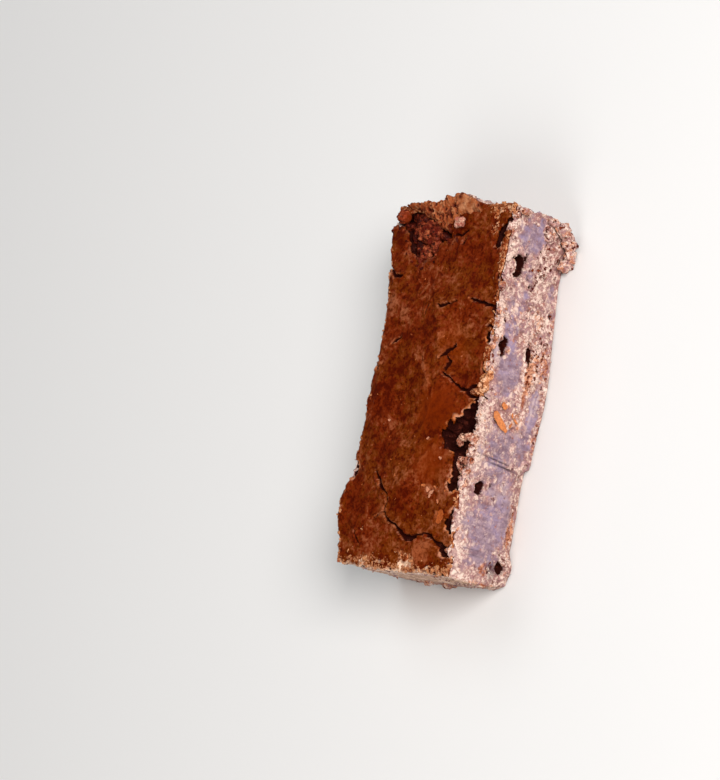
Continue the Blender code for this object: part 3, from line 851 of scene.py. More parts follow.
def lump_material(name, low, high, glint, deep, density=0.8, rough=0.7):
    """Torn crumb of a loose lump: grains of one colour over gaps of another, the palest with a painted glint, and
    painted shade in the lump's own dents."""
    if name in bpy.data.materials:
        return bpy.data.materials[name]
    mat, n, shader = new_material(name, rough, 0.06)
    vec = n.place()
    g = n.feed(n.add("ShaderNodeGroup", node_tree=grain_group()), Vector=vec, Density=density, Pores=0.8)
    colour = n.mix(n.math("MULTIPLY", g.outputs["Cores"], 0.7), n.mix(g.outputs["Grain"], low, high), glint)
    colour = n.mix(n.math("MULTIPLY", g.outputs["Pits"], 0.9), colour, deep)
    colour = n.mix(n.value("hollow"), colour, deep)
    bump = n.add("ShaderNodeBump")
    n.feed(bump, Strength=0.9, Distance=0.00025, Height=g.outputs["Height"])
    n.feed(shader, Base_Color=colour, Normal=bump.outputs["Normal"])
    return mat


def bits_material(name, colours, first, second, third, rough=0.65):
    """Loose bits: each bit takes its tone from its own number, from the first colour to the third."""
    if name in bpy.data.materials:
        return bpy.data.materials[name]
    mat, n, shader = new_material(name, rough, 0.06)
    vec = n.place()
    tint = n.value("tint")
    colour = n.mix(n.ramp(tint, 0.0, 0.5), colours[first], colours[second])
    colour = n.mix(n.ramp(tint, 0.6, 1.0), colour, colours[third])
    speck = n.ramp(n.noise(vec, 0.5, 2.0), 0.4, 0.6)
    colour = n.mix(n.math("MULTIPLY", speck, 0.3), colour, colours["pit"])
    bump = n.add("ShaderNodeBump")
    n.feed(bump, Strength=0.6, Distance=0.0001, Height=n.noise(vec, 0.35, 2.0))
    n.feed(shader, Base_Color=colour, Normal=bump.outputs["Normal"])
    return mat


# ---------------------------------------------------------------- pieces

def colour_set(props):
    """The panel's colours by name."""
    return {key: tuple(getattr(props, key)) + (1.0,) for key in props.__annotations__}


def side_relief(p):
    """Relief of the cut sides and ends in mm: slow waves, holes, crumb grains in the open parts, small pores."""
    wave = 0.28 * layered(p, 6.0, 3, 2)
    f, which = cells(p, 1.15, 5)
    grain = np.clip(0.75 - f, 0, 1) * (0.4 + 0.6 * which)
    f2, which2 = cells(p, 2.1, 9)
    pore = (which2 > 0.72) * np.clip(0.42 - f2, 0, 1) * 2.4 * which2
    return wave, grain, pore


def make_crumb(sizes, colours):
    """The body of the bar: a rounded box carried to the bar's form, then moved along its normals by the relief."""
    half = np.array([NOMINAL_WIDTH, NOMINAL_LENGTH, NOMINAL_HEIGHT]) / 2.0
    xs = gathered(-half[0], half[0], half[0] - 14.0, 0.32, 0.75)
    ys = np.linspace(-half[1], half[1], 342)
    zs = np.linspace(-half[2], half[2], 77)
    box, quads, tris = box_shell(xs, ys, zs)
    box[:-1] = rounded(box[:-1], half, 0.8)
    points, u, v, w = bar_form(box, sizes.crust_thickness / MM * 0.9)
    points[-1] = (0, 0, 0)
    mesh = put_mesh("crumb", points, quads, tris)
    p, normal = read_back(mesh)
    wave, grain, pore = side_relief(p)
    right = ramp(normal[:, 0], 0.5, 0.9)
    top = ramp(normal[:, 2], 0.4, 0.8) * ramp(w, 0.93, 0.98)
    upright = ramp(np.maximum(np.abs(normal[:, 0]), np.abs(normal[:, 1])), 0.5, 0.9)
    near, far = ramp(-normal[:, 1], 0.5, 0.9), ramp(normal[:, 1], 0.5, 0.9)
    run = side_run(p, normal)
    _, hole = inside(run + 0.38 * noise(p, 1.8, 31) + 0.18 * noise(p, 0.8, 33),
                     p[:, 2] + 0.38 * noise(p, 1.8, 32) + 0.18 * noise(p, 0.8, 34), HOLES)
    # the smears are frayed by small crumbs, and end before the upright corners of the other sides
    corner = np.max(half[:2] - np.abs(box[:, :2]), axis=1) + 1.2 * noise(p, 2.6, 61)
    mask = np.clip(crumbly(run, p[:, 2]) + 0.4 * noise(p, 1.3, 62), 0.0, 1.0)
    mask = np.maximum(mask, 0.9 * (1.0 - right) * ramp(4.5 - corner, 0.0, 3.0))
    mask = np.maximum(mask, np.maximum(far, 0.6 * near))
    side = 1.0 - top
    lift = side * (wave + sizes.grain_relief / MM * mask * (grain - 0.25) - (0.35 + 0.65 * mask) * pore)
    lift += far * side * (1.3 * layered(p, 5.0, 52, 3) + 0.8 * (0.5 - cells(p, 2.6, 55)[0]))
    lift -= upright * hole
    # lines dragged by the knife: straight grooves
    drag = np.zeros(len(p))
    for y0, z0, y1, z1, wide, strong in (
            (-16.1, 19.4, -17.6, 7.6, 0.22, 1.0), (-17.7, 16.4, -19.1, 3.8, 0.24, 1.0), (-15.4, 17.0, -16.4, 11.0, 0.16, 0.5),
            (-43.0, 20.0, -43.8, 8.0, 0.2, 0.45), (-41.6, 19.0, -42.0, 12.0, 0.15, 0.4)):
        t = np.clip(((p[:, 1] - y0) * (y1 - y0) + (p[:, 2] - z0) * (z1 - z0)) / ((y1 - y0) ** 2 + (z1 - z0) ** 2), 0, 1)
        d = np.hypot(p[:, 1] - y0 - t * (y1 - y0), p[:, 2] - z0 - t * (z1 - z0))
        drag = np.maximum(drag, strong * np.exp(-(d / wide) ** 2) * np.sqrt(np.clip(4 * t * (1 - t), 0, 1)))
    lift -= right * 0.45 * drag
    # a soft patch above the hole near the near end: painted shade, kept in the same mask as the knife lines
    drag = np.maximum(drag, 0.75 * np.exp(-((p[:, 1] + 46.2) / 2.8) ** 2 - ((p[:, 2] - 7.6) / 1.9) ** 2))
    # hollows under the broken crust, kept off the cut side by a thin rim
    _, deep = opened(p[:, 0], p[:, 1], OPENINGS)
    _, torn = opened(p[:, 0], p[:, 1], TORN)
    inland = cut_edge_top(p[:, 1]) - p[:, 0] + 0.8 * noise(p, 2.2, 44) + 0.5 * noise(p, 0.8, 45)
    brim = 0.8 * ramp(deep, 0.2, 1.5) * ramp(1.4 - inland, 0.0, 0.8)
    deep = deep * ramp(inland, 0.4, 1.3)
    rough_top = (grain - 0.3) * 0.9 + 0.7 * layered(p, 2.4, 47, 3)
    drop = np.maximum(deep, torn)
    inner = np.minimum(cut_edge_top(p[:, 1]) - p[:, 0], p[:, 0] - left_edge(p[:, 1]))
    inner = np.minimum(inner, np.minimum(p[:, 1] + 50.0, 52.0 - p[:, 1]))
    lift_top = brim - drop + ramp(drop, 0.2, 1.0) * rough_top - 0.9 * ramp(inner, 0.8, 1.8) * ramp(0.6 - drop, 0.0, 0.6)
    fade = np.clip(p[:, 2] / 0.8, 0.0, 1.0)
    foot = ramp(-p[:, 1] + 0.5 * noise(p, 2.0, 48), 17.3, 18.3) * ramp(p[:, 1], -45.0, -40.0)
    inset = 1.8 * foot * ramp(6.5 - p[:, 2], 0.0, 6.5) * ramp(u, 0.93, 0.965)
    p = p + normal * (lift * fade)[:, None]
    p[:, 0] -= inset
    p[:, 2] += top * lift_top
    p[:, 2] = np.where(w <= 0.0001, 0.0, np.maximum(p[:, 2], 0.0))
    write_back(mesh, p)
    # shelf: the crumb top under the broken crust, painted dark as shade, save a thin rim by the cut side
    shelf = ramp(inland, 0.5, 1.1) * (1 - 0.5 * ramp(torn, 0.5, 2.0) * ramp(noise(p, 1.5, 49), -0.1, 0.4))
    z = p[:, 2]
    cut = upright * (1 - top)
    put_crumb_values(
        mesh,
        cut * (1 - mask) + (1 - cut) * 0.05,
        cut * (patches(run, z, PORED) + 0.6 * far) + (1 - cut) * 0.3,
        np.maximum(cut * (patches(run, z, RUSTY) + 0.3 * far) + (1 - cut) * 0.25, top * ramp(torn, 0.5, 1.5)),
        # hollow: painted shade deep in the holes and on the crumb top under the broken crust
        np.maximum(upright * ramp(hole, 0.3, 1.5), top * shelf),
        np.maximum(cut * patches(run, z, CREAMY), near * ramp(z, 17.5, 21.6)),
        near * (1 - top) * ramp(z, -4.0, 9.0), right * drag)
    add_piece("crumb", mesh, crumb_material(colours), "brownie")


def s_noise(x, y):
    """Two-layer noise of about 1.5 mm on the plan, from -1 to 1."""
    return 1.6 * layered(plan(x, y), 1.8, 150, 2).reshape(x.shape)


def make_crust(sizes, colours):
    """The crust: a thin closed shell over the bar, its torn openings rolled under and sunk into the crumb."""
    nx, ny = 142, 310
    thick = sizes.crust_thickness / MM
    s, t = np.meshgrid(np.linspace(0, 1, nx + 1), np.linspace(0, 1, ny + 1), indexing="ij")
    y = -50.6 + t * (52.6 + 50.6)
    edge = plan(s * 60.0, y)
    jag = (0.32 * noise(edge, 2.2, 80) + 0.18 * noise(edge, 0.8, 81)).reshape(s.shape)
    left = left_edge(y) - 0.1 + jag
    right = cut_edge_top(y) + 0.15 + jag
    x = left + (right - left) * s
    low, high = near_end(x, 1.0), far_end(x, 1.0)
    endjag = (0.35 * noise(plan(x, t * 0), 2.0, 84) + 0.2 * noise(plan(x, t * 0), 0.7, 85)).reshape(s.shape)
    y = low + (high - low) * t + endjag * np.abs(2 * t - 1) ** 12
    # level with folds and fine waves
    flat = plan(x, y)
    z = crust_level(x, y)
    even = np.clip(patches(x, y, SMOOTH), 0, 1)
    z += (0.30 * layered(flat, 7.0, 90, 3) + 0.13 * layered(flat, 2.2, 94, 3)).reshape(s.shape) * (1 - 0.6 * even)
    fold, fold_painted_light = folded(x, y)
    z += fold
    fold_painted_light *= 0.15 + 0.85 * ramp(s_noise(x, y), -0.5, 0.6)
    crack = to_cracks(x, y)
    z += 0.25 * np.exp(-((crack - 0.45) / 0.6) ** 2)
    z -= 1.2 * ramp(0.24 - crack, 0.0, 0.4)
    z -= 0.35 * ramp(-y, 40.4, 41.4) * ramp(x, -5, -1)
    # crumbly borders
    near_rim, far_rim, cut_rim = t * 103.0, (1 - t) * 103.0, (1 - s) * 46.0
    across_ = ramp(noise(plan(x, 0 * x), 2.6, 86).reshape(s.shape), -0.1, 0.7)
    along_ = ramp(noise(plan(0 * y, y), 2.2, 87).reshape(s.shape), 0.0, 0.7)
    fray = np.maximum(1.3 - near_rim / (1.0 + 2.6 * across_), 0.8 - far_rim / (1.6 + 2.0 * across_))
    fray = np.maximum(fray, np.maximum(1.2 - cut_rim / (0.25 + 1.4 * along_), 1.1 - s * 46.0 / (0.4 + 0.9 * along_)))
    fray = np.maximum(fray, patches(x, y, CRUMBLY))
    fray = np.clip(fray + 0.45 * s_noise(x, y) * ramp(fray, 0.02, 0.3), 0, 1)
    crumbs = np.zeros(len(flat))
    for pitch, height, seed in ((1.5, 1.1, 99), (0.85, 0.6, 98)):
        near_cell, lot = cells(flat, pitch, seed)
        crumbs += height * (np.clip(0.75 - near_cell, 0, 1) * (0.3 + 0.9 * lot) - 0.25)
    z += fray * crumbs.reshape(s.shape) * (0.3 + 0.7 * ramp(s_noise(x, y), -0.4, 0.6))
    # openings: the shell ends on their outline, where its corners are pulled back to
    spots = OPENINGS + TORN
    e = opened(x, y, spots)[0]
    h = 0.15
    ex = (opened(x + h, y, spots)[0] - opened(x - h, y, spots)[0]) / (2 * h)
    ey = (opened(x, y + h, spots)[0] - opened(x, y - h, spots)[0]) / (2 * h)
    pull = np.clip(e, 0, 0.6) / np.maximum(ex ** 2 + ey ** 2, 0.25)
    x, y = x - pull * ex, y - pull * ey
    hang = ramp(e, -1.4, 0.0)
    z = z + hang * (0.35 * layered(flat, 2.6, 97, 2).reshape(s.shape) - 0.25)
    # round the outer rim
    border = np.minimum(np.minimum(s * 46.0, (1 - s) * 46.0), np.minimum(t * 103.0, (1 - t) * 103.0))
    z = z - 0.25 * (1.0 - ramp(border, 0.0, 0.9))
    a = np.arange(x.size).reshape(x.shape)
    quads = lattice_faces(a)
    quads = quads[(e.ravel()[quads] <= 0).any(axis=1)]
    starts, ends = quads.ravel(), np.roll(quads, -1, axis=1).ravel()
    free = ~np.isin(ends * x.size + starts, starts * x.size + ends)
    starts, ends = starts[free], ends[free]
    quads = np.concatenate([quads, quads[:, ::-1] + x.size, np.stack([ends, starts, starts + x.size, ends + x.size], axis=1)])
    points = np.concatenate([plan(x, y, z), plan(x, y, z - thick)])
    used, renumbered = np.unique(quads, return_inverse=True)
    mesh = put_mesh("crust", points[used], renumbered.reshape(-1, 4))
    # lip at the torn openings: torn crust edge, partly a painted highlight on the lit rim
    lip = 0.85 * ramp(e, -0.34 - 0.9 * ramp(s_noise(x, y), 0.1, 0.9), -0.08) * ramp(s_noise(x, y), -0.3, 0.2)
    lip *= 1.0 - 0.85 * ramp(y, 31.0, 33.0) * (x < 4.0)
    # pale lip beside the cracks: painted highlight on their lit lower lip
    lip = np.maximum(lip, 0.45 * ramp(crack, 0.10, 0.2) * (1 - ramp(crack, 0.2, 0.42)) * ramp(s_noise(x, y), 0.0, 0.4))
    rim = ramp(0.95 - near_rim + 2.4 * across_ * ramp(s_noise(x, y), -0.2, 0.7) + 0.4 * s_noise(x, y), 0.0, 0.9)
    # the underside gets crack -0.3, so it takes the painted shade of the cracks
    values = (("tone", patches(x, y, TONES) + fold_painted_light, 0.0), ("even", even, 0.0), ("crack", crack, -0.3),
              ("lip", lip, 0.0), ("fray", fray, 0.0), ("rim", rim, 0.0))
    for name, value, below in values:
        put_value(mesh, name, np.concatenate([value.ravel(), np.full(value.size, below)])[used])
    add_piece("crust", mesh, crust_material(colours))


def make_slab(sizes, colours):
    """The lifted slab of crust at the torn end: a closed plate between two curves, tilted up towards the end,
    with pits of cell noise except on its smooth end."""
    nu, nv = 170, 54
    u, v = np.meshgrid(np.linspace(0, 1, nu + 1), np.linspace(0, 1, nv + 1), indexing="ij")
    x = -18.9 + 30.0 * u
    low = np.interp(x, (-19, -16, -12, -8, -5, -2.2, 0, 3, 6, 9, 11.2), (51.2, 50.6, 49.7, 48.2, 46.4, 44.9, 46.4, 48.2, 48.9, 49.4, 49.8))
    high = np.interp(x, (-19, -16, -12, -8, -4, -1, 1.5, 5, 8, 9.6, 11.2), (52.2, 52.7, 52.6, 52.9, 53.6, 54.5, 55.1, 54.9, 53.6, 52.4, 50.6))
    p = plan(x, v * 4)
    jag = (0.45 * noise(p, 2.2, 120) + 0.3 * noise(p, 0.8, 121)).reshape(x.shape)
    y = low + v * (high - low) + jag * np.abs(2 * v - 1)
    flat = plan(x, y)
    skin = ramp(within(x, y, ((2.4, 53.9), (2.9, 51.0), (5.4, 49.6), (9.4, 49.8), (10.9, 50.4), (8.6, 53.2), (6.0, 54.6))), -0.7, 0.5)
    f, which = cells(flat, 1.35, 123)
    pits = ((which > 0.30) * np.clip(0.55 - f, 0, 1) * 3.2).reshape(x.shape) * (1 - 0.85 * skin)
    spot = bell(x, 3.5, 0.9, 1.0) * bell(y, 54.0, 0.6, 1.0)
    z = 23.4 + 2.2 * v ** 0.8 + (0.50 * layered(flat, 4.0, 125, 3) * (1 - 0.5 * skin.ravel())
                                 + 0.25 * layered(flat, 1.0, 128, 2) * (1 - skin.ravel())).reshape(x.shape)
    rim = 1.0 - ramp(np.minimum(np.minimum(v, 1 - v) * (high - low), np.minimum(u, 1 - u) * 30.0), 0.0, 0.9)
    z_top = z - pits - 0.6 * rim
    z_low = z - 1.7 - 1.0 * (1 - v)
    a = np.arange(x.size).reshape(x.shape)
    b = a + a.size
    loop = np.concatenate([a[:-1, 0], a[-1, :-1], a[:0:-1, -1], a[0, :0:-1]])
    band = np.stack([np.roll(loop, -1), loop, loop + a.size, np.roll(loop, -1) + a.size], axis=1)
    quads = np.concatenate([lattice_faces(a), lattice_faces(b, True), band])
    points = np.concatenate([plan(x, y, z_top), plan(x, y, z_low)])
    mesh = put_mesh("crust_slab", points, quads)
    dark = np.clip(pits * 1.2 + spot, 0, 1)
    # darker in the pits and the dark-red spot on top; the underside darkened as painted shade
    put_value(mesh, "hollow", np.concatenate([dark.ravel(), 0.4 + 0 * dark.ravel()]))
    put_value(mesh, "skin", np.concatenate([skin.ravel(), 0 * skin.ravel()]))
    # paler towards the smooth end; along the far rim a painted highlight
    put_value(mesh, "pale", np.concatenate([np.maximum(ramp(x, -6.0, 5.0), ramp(v, 0.66, 0.92)).ravel()] * 2))
    add_piece("crust_slab", mesh, slab_material(colours))


def slab_material(colours):
    """Lifted slab: pored orange-brown crumb turning paler towards the end that keeps a smooth tan skin, with painted
    highlights on its palest grains and far rim, and painted shade on its underside.
    """
    mat, n, shader = new_material("lifted slab", 0.55, 0.10)
    vec = n.place()
    g = n.feed(n.add("ShaderNodeGroup", node_tree=grain_group()), Vector=vec, Density=0.7, Pores=1.0)
    pale, skin = n.value("pale"), n.value("skin")
    low = n.mix(pale, colours["slab_low"], colours["slab_mid"])
    high = n.mix(pale, colours["slab_mid"], colours["slab_high"])
    colour = n.mix(g.outputs["Grain"], low, high)
    colour = n.mix(n.math("MULTIPLY", g.outputs["Cores"], n.ramp(pale, 0.0, 1.0, 0.75, 1.0)), colour, colours["slab_skin"])
    colour = n.mix(n.math("MULTIPLY", g.outputs["Pits"], 0.85), colour, colours["slab_deep"])
    smooth = n.mix(n.ramp(n.noise(vec, 2.0, 3.0), 0.35, 0.65), colours["slab_high"], colours["slab_skin"])
    colour = n.mix(n.math("MULTIPLY", skin, 0.55), colour, smooth)
    colour = n.mix(n.value("hollow"), colour, colours["slab_deep"])
    bump = n.add("ShaderNodeBump")
    n.feed(bump, Strength=0.9, Distance=0.00025, Height=n.math("MULTIPLY", g.outputs["Height"], n.ramp(skin, 0.0, 1.0, 1.0, 0.3)))
    n.feed(shader, Base_Color=colour, Normal=bump.outputs["Normal"])
    return mat


def make_lump(at, radii, pitch, depth, seed, rings=64, turn=0.0):
    """A torn lump of crumb: a ball stretched to its radii, dented by cell noise and layered noise; it also gives how
    deep in a dent each point lies, which is painted as shade.
    """
    ball, quads, tris = ball_shell(rings, rings * 2)
    size = np.array(radii)
    p = ball * size
    f, which = cells(p + 50.0, pitch, seed)
    f2, which2 = cells(p + 50.0, pitch * 0.45, seed + 3)
    bumps = depth * (np.clip(0.8 - f, -0.4, 0.8) + 0.35 * np.clip(0.8 - f2, -0.4, 0.8)
                     + 0.9 * layered(p, pitch * 2.0, seed + 5, 3))
    p = p + ball * bumps[:, None]
    c, s = np.cos(np.radians(turn)), np.sin(np.radians(turn))
    p = np.stack([p[:, 0] * c - p[:, 1] * s, p[:, 0] * s + p[:, 1] * c, p[:, 2]], axis=1) + np.array(at)
    p[:, 2] = np.maximum(p[:, 2], 0.02)
    # how deep in a dent: painted shade
    return p, quads, tris, np.clip((0.1 - bumps / depth) * 1.4, 0, 1)


def join_lumps(name, lumps, mat, smear=0.1, pores=0.7, rust=0.4, shade=1.0):
    """Puts several lumps into one mesh, their dents painted dark as shade, scaled by shade."""
    points, quads, tris, dark, shift = [], [], [], [], 0
    for p, q, t, d in lumps:
        points.append(p)
        quads.append(q + shift)
        tris.append(t + shift)
        dark.append(d)
        shift += len(p)
    mesh = put_mesh(name, np.concatenate(points), np.concatenate(quads), np.concatenate(tris))
    put_crumb_values(mesh, smear, pores, rust, np.concatenate(dark) * shade)
    add_piece(name, mesh, mat)


def make_lumps(sizes, colours):
    """Torn lumps: the red-brown ones in the torn corner, the clump at the foot of the cut side, the round pale
    crumb, and the crumbs that bridge the broken edge."""
    torn = lump_material("torn corner crumb", colours["torn_low"], colours["torn_high"], colours["torn_glint"],
                         colours["hollow"], 0.3, 0.4)
    # a darker copy of the torn crumb for the lumps lower in the crevices: painted shade
    deep = lump_material("deep torn crumb", colours["hollow"], colours["torn_low"], colours["torn_high"],
                         colours["hollow"], 0.5, 0.4)
    knob = lump_material("torn knob", colours["crust_red"], colours["knob"], colours["torn_glint"],
                         colours["torn_low"], 0.4, 0.5)
    for name, mat, lumps in (
            ("torn_corner_lumps", torn, (
                ((-10.2, 44.8, 21.3), (4.4, 2.6, 1.9), 1.7, 1.3, 70, -16), ((-10.4, 38.9, 21.3), (2.1, 1.6, 1.2), 1.2, 0.8, 44, 40),
                ((-6.2, 40.8, 21.5), (1.9, 1.3, 1.2), 1.2, 0.8, 44, 20), ((-12.0, 36.4, 21.9), (1.2, 0.8, 0.8), 1.0, 0.6, 40, 30))),
            ("torn_corner_depths", deep, (
                ((-15.4, 46.2, 20.5), (2.4, 1.7, 1.5), 1.4, 0.9, 44, 20), ((-13.9, 40.8, 20.4), (1.8, 1.5, 1.1), 1.2, 0.7, 44, 60),
                ((-3.4, 43.4, 21.2), (1.9, 0.9, 1.0), 1.1, 0.6, 40, -20), ((-19.6, 46.6, 20.9), (1.9, 1.0, 1.3), 1.2, 0.6, 44, 10),
                ((-16.4, 43.2, 20.9), (1.1, 1.6, 0.9), 1.0, 0.6, 40, 20), ((-13.6, 48.5, 20.7), (4.8, 1.5, 1.4), 1.4, 0.9, 56, -6))),
            ("torn_corner_knob", knob, (((-21.2, 49.2, 22.5), (1.9, 1.4, 1.4), 1.3, 0.8, 44, 0),))):
        join_lumps(name, [make_lump(at, radii, pitch, depth, 201 + 10 * k, rings, turn)
                          for k, (at, radii, pitch, depth, rings, turn) in enumerate(lumps)], mat)
    crumb = crumb_material(colours)
    for name, pores, rust, lumps in (
            ("foot_clump", 0.6, 0.25, (((22.8, 43.6, 4.6), (1.5, 4.0, 3.0), 1.7, 0.8, 70, 0),
                                       ((22.8, 47.6, 7.6), (1.4, 2.4, 3.0), 1.6, 0.8, 56, 0))),
            ("foot_lobe", 0.9, 0.45, (
                ((24.7, 40.0, 1.5), (1.2, 1.6, 1.3), 1.1, 1.0, 44, -14), ((26.0, 42.7, 1.9), (1.2, 2.0, 1.6), 1.3, 1.2, 56, -8),
                ((26.3, 46.0, 3.0), (1.2, 2.0, 2.2), 1.3, 1.2, 56, 6), ((25.7, 48.9, 5.2), (1.1, 1.4, 2.1), 1.1, 1.0, 44, 18),
                ((24.4, 50.4, 8.4), (1.0, 1.0, 1.8), 1.2, 0.6, 40, 0)))):
        join_lumps(name, [make_lump(at, radii, pitch, depth, 251 + 10 * k, rings, turn)
                          for k, (at, radii, pitch, depth, rings, turn) in enumerate(lumps)], crumb, 0.0, pores, rust, 1.0)
    join_lumps("hole_crumbs", [make_lump((float(side_at(y, z)) - 0.7 + out, y, z), (0.8, half_y, half_z), 0.8, 0.4,
                                         451 + 5 * k, 26)
                               for k, (y, z, half_y, half_z, out) in enumerate(HOLE_CRUMBS)], crumb, 0.0, 0.3, 0.3, 0.5)
    bridge = lump_material("bridge crumb", colours["rust_low"], colours["round_high"], colours["sand_high"],
                           colours["torn_low"], 0.8, 0.6)
    join_lumps("bridge_crumbs", [make_lump(at, radii, 0.75, 0.55, 801 + 7 * k, 34, turn) for k, (at, radii, turn) in enumerate((
        ((22.6, -12.5, 22.7), (1.5, 1.0, 0.8), 0), ((20.6, -12.1, 22.8), (1.6, 0.9, 0.8), 0),
        ((18.6, -12.5, 22.6), (1.3, 0.9, 0.8), -10), ((17.2, -13.6, 22.3), (0.9, 1.2, 0.7), 10),
        ((22.4, -15.2, 22.4), (1.1, 1.3, 0.8), 0), ((21.2, -16.6, 22.0), (0.8, 0.9, 0.7), 0),
        ((21.6, -18.6, 22.4), (1.6, 0.9, 0.8), 10), ((19.4, -18.7, 22.1), (1.4, 0.8, 0.7), -20),
        ((17.9, -19.8, 21.8), (0.8, 1.1, 0.6), 10), ((19.4, -21.0, 21.7), (1.3, 0.8, 0.7), 0),
        ((21.6, -21.4, 22.2), (1.0, 1.1, 0.7), 0), ((19.2, -23.4, 21.6), (1.0, 0.7, 0.6), 40),
        ((21.0, -25.2, 22.0), (0.8, 1.0, 0.7), 10), ((18.3, -28.0, 21.9), (1.0, 0.6, 0.6), 80)))], bridge, shade=0.45)
    lumps = []
    for n, (x, y, z, a, b, c, turn) in enumerate((
            (20.2, -33.4, 21.6, 1.2, 0.9, 0.9, 20), (20.4, -37.4, 21.6, 1.1, 0.9, 0.8, 40),
            (19.4, -43.2, 21.6, 1.3, 0.6, 0.6, 0), (23.5, 13.2, 22.4, 0.6, 0.8, 0.7, 0), (24.0, 15.2, 22.2, 0.5, 1.2, 0.8, 0),
            (22.4, 44.6, 22.0, 1.2, 1.4, 0.9, 20), (21.2, 41.0, 22.4, 1.0, 0.9, 0.8, 50),
            (23.2, 7.4, 22.8, 0.9, 1.2, 0.8, 20),
            (23.6, 19.0, 22.4, 0.9, 1.1, 0.8, 0), (23.4, 22.6, 22.3, 0.8, 1.0, 0.7, 0),
            (23.3, 29.6, 22.6, 0.8, 1.2, 0.7, 0), (23.6, 49.6, 22.2, 1.1, 1.0, 0.8, 50), (19.6, 51.4, 22.2, 1.2, 0.6, 0.7, 0),
            (14.8, 51.6, 22.4, 1.1, 0.6, 0.7, 0), (24.6, 50.8, 20.0, 0.8, 0.8, 1.6, 0))):
        lumps.append(make_lump((x, y, z), (a, b, c), 0.9, 0.45, 300 + 7 * n, 26, turn))
    for n, (x, z, size) in enumerate(((-5.6, 7.4, 0.7), (-4.2, 5.0, 1.1), (-2.4, 6.4, 0.8), (1.6, 3.0, 1.3), (3.0, 4.6, 0.8),
                                      (3.9, 2.6, 0.7))):
        y = float(near_end(np.array([x]), z / NOMINAL_HEIGHT)[0])
        lumps.append(make_lump((x, y - 0.1, z), (size * 1.2, size * 0.8, size), 0.9, 0.45, 700 + 7 * n, 26))
    join_lumps("edge_crumbs", lumps, crumb, 0.0, 0.6, 0.7, 0.6)
    orange = lump_material("orange crumb", colours["rust_low"], colours["tongue"], colours["sand_high"],
                           colours["pit_rust"], 1.0, 0.5)
    join_lumps("edge_tongue", [make_lump(at, radii, 1.0, 0.4, 601 + 7 * k, 34, turn) for k, (at, radii, turn) in enumerate((
        ((21.7, 0.3, 23.5), (2.9, 0.75, 0.6), 8), ((24.2, 1.4, 23.1), (1.0, 1.2, 0.8), 0),
        ((23.4, 3.2, 23.0), (1.2, 1.2, 0.8), 30), ((24.5, 4.9, 22.6), (0.8, 1.2, 0.8), 0),
        ((22.2, 1.9, 23.3), (0.9, 0.8, 0.5), 0)))], orange)
    pale = lump_material("pale crumb", colours["round_low"], colours["round_high"], colours["sand_high"],
                         colours["torn_low"], 0.9, 0.6)
    join_lumps("round_crumb", [make_lump(at, radii, 0.9, 0.35, 401 + 7 * k, 34) for k, (at, radii) in enumerate((
        ((3.3, 47.5, 24.6), (0.85, 0.75, 0.8)), ((4.8, 47.6, 24.5), (0.8, 0.7, 0.75)),
        ((3.2, 46.2, 24.5), (0.75, 0.8, 0.75)), ((4.9, 46.2, 24.6), (0.85, 0.8, 0.8)),
        ((4.0, 46.9, 23.6), (1.1, 1.0, 0.8))))], pale)


def bits_mesh(name, centres, sizes_mm, seed, flat=0.7, facets=True):
    """Many small bits: a ball of few faces, dented by noise, its radii and turn drawn by chance for each, carried
    to each centre."""
    rng = np.random.default_rng(seed)
    ball, quads, tris = ball_shell(5, 8)
    count = len(centres)
    away = rng.uniform(0, 900, (count, 1, 3))
    dent_ = 1.0 + 0.75 * noise((ball[None] + away).reshape(-1, 3), 0.9, seed).reshape(count, len(ball), 1)
    stretch = np.stack([rng.uniform(0.7, 1.7, count), rng.uniform(0.5, 1.1, count),
                        rng.uniform(0.5, 0.9, count) * flat / 0.7], axis=1)
    axis = rng.standard_normal((count, 4))
    q = axis / np.linalg.norm(axis, axis=1, keepdims=True)
    w, x, y, z = q.T
    turn = np.stack([1 - 2 * (y * y + z * z), 2 * (x * y - z * w), 2 * (x * z + y * w),
                     2 * (x * y + z * w), 1 - 2 * (x * x + z * z), 2 * (y * z - x * w),
                     2 * (x * z - y * w), 2 * (y * z + x * w), 1 - 2 * (x * x + y * y)], axis=1).reshape(count, 3, 3)
    p = ball[None] * dent_ * (stretch * sizes_mm[:, None])[:, None, :]
    p = np.einsum("nij,nkj->nki", turn, p) + centres[:, None, :]
    step = (np.arange(count) * len(ball))[:, None, None]
    mesh = put_mesh(name, p.reshape(-1, 3), (quads[None] + step).reshape(-1, 4), (tris[None] + step).reshape(-1, 3))
    if facets:
        mesh.shade_flat()
    put_value(mesh, "tint", np.repeat(rng.uniform(0, 1, count), len(ball)))
    return mesh


def surface_points(name, keep, count, seed):
    """Chosen vertices of a finished piece, by chance: points and normals."""
    p, normal = read_back(bpy.data.objects[name].data)
    rng = np.random.default_rng(seed)
    weight = np.clip(keep(p, normal), 0, 1)
    weight = weight / weight.sum()
    pick = rng.choice(len(p), size=count, replace=False, p=weight)
    return p[pick], normal[pick]


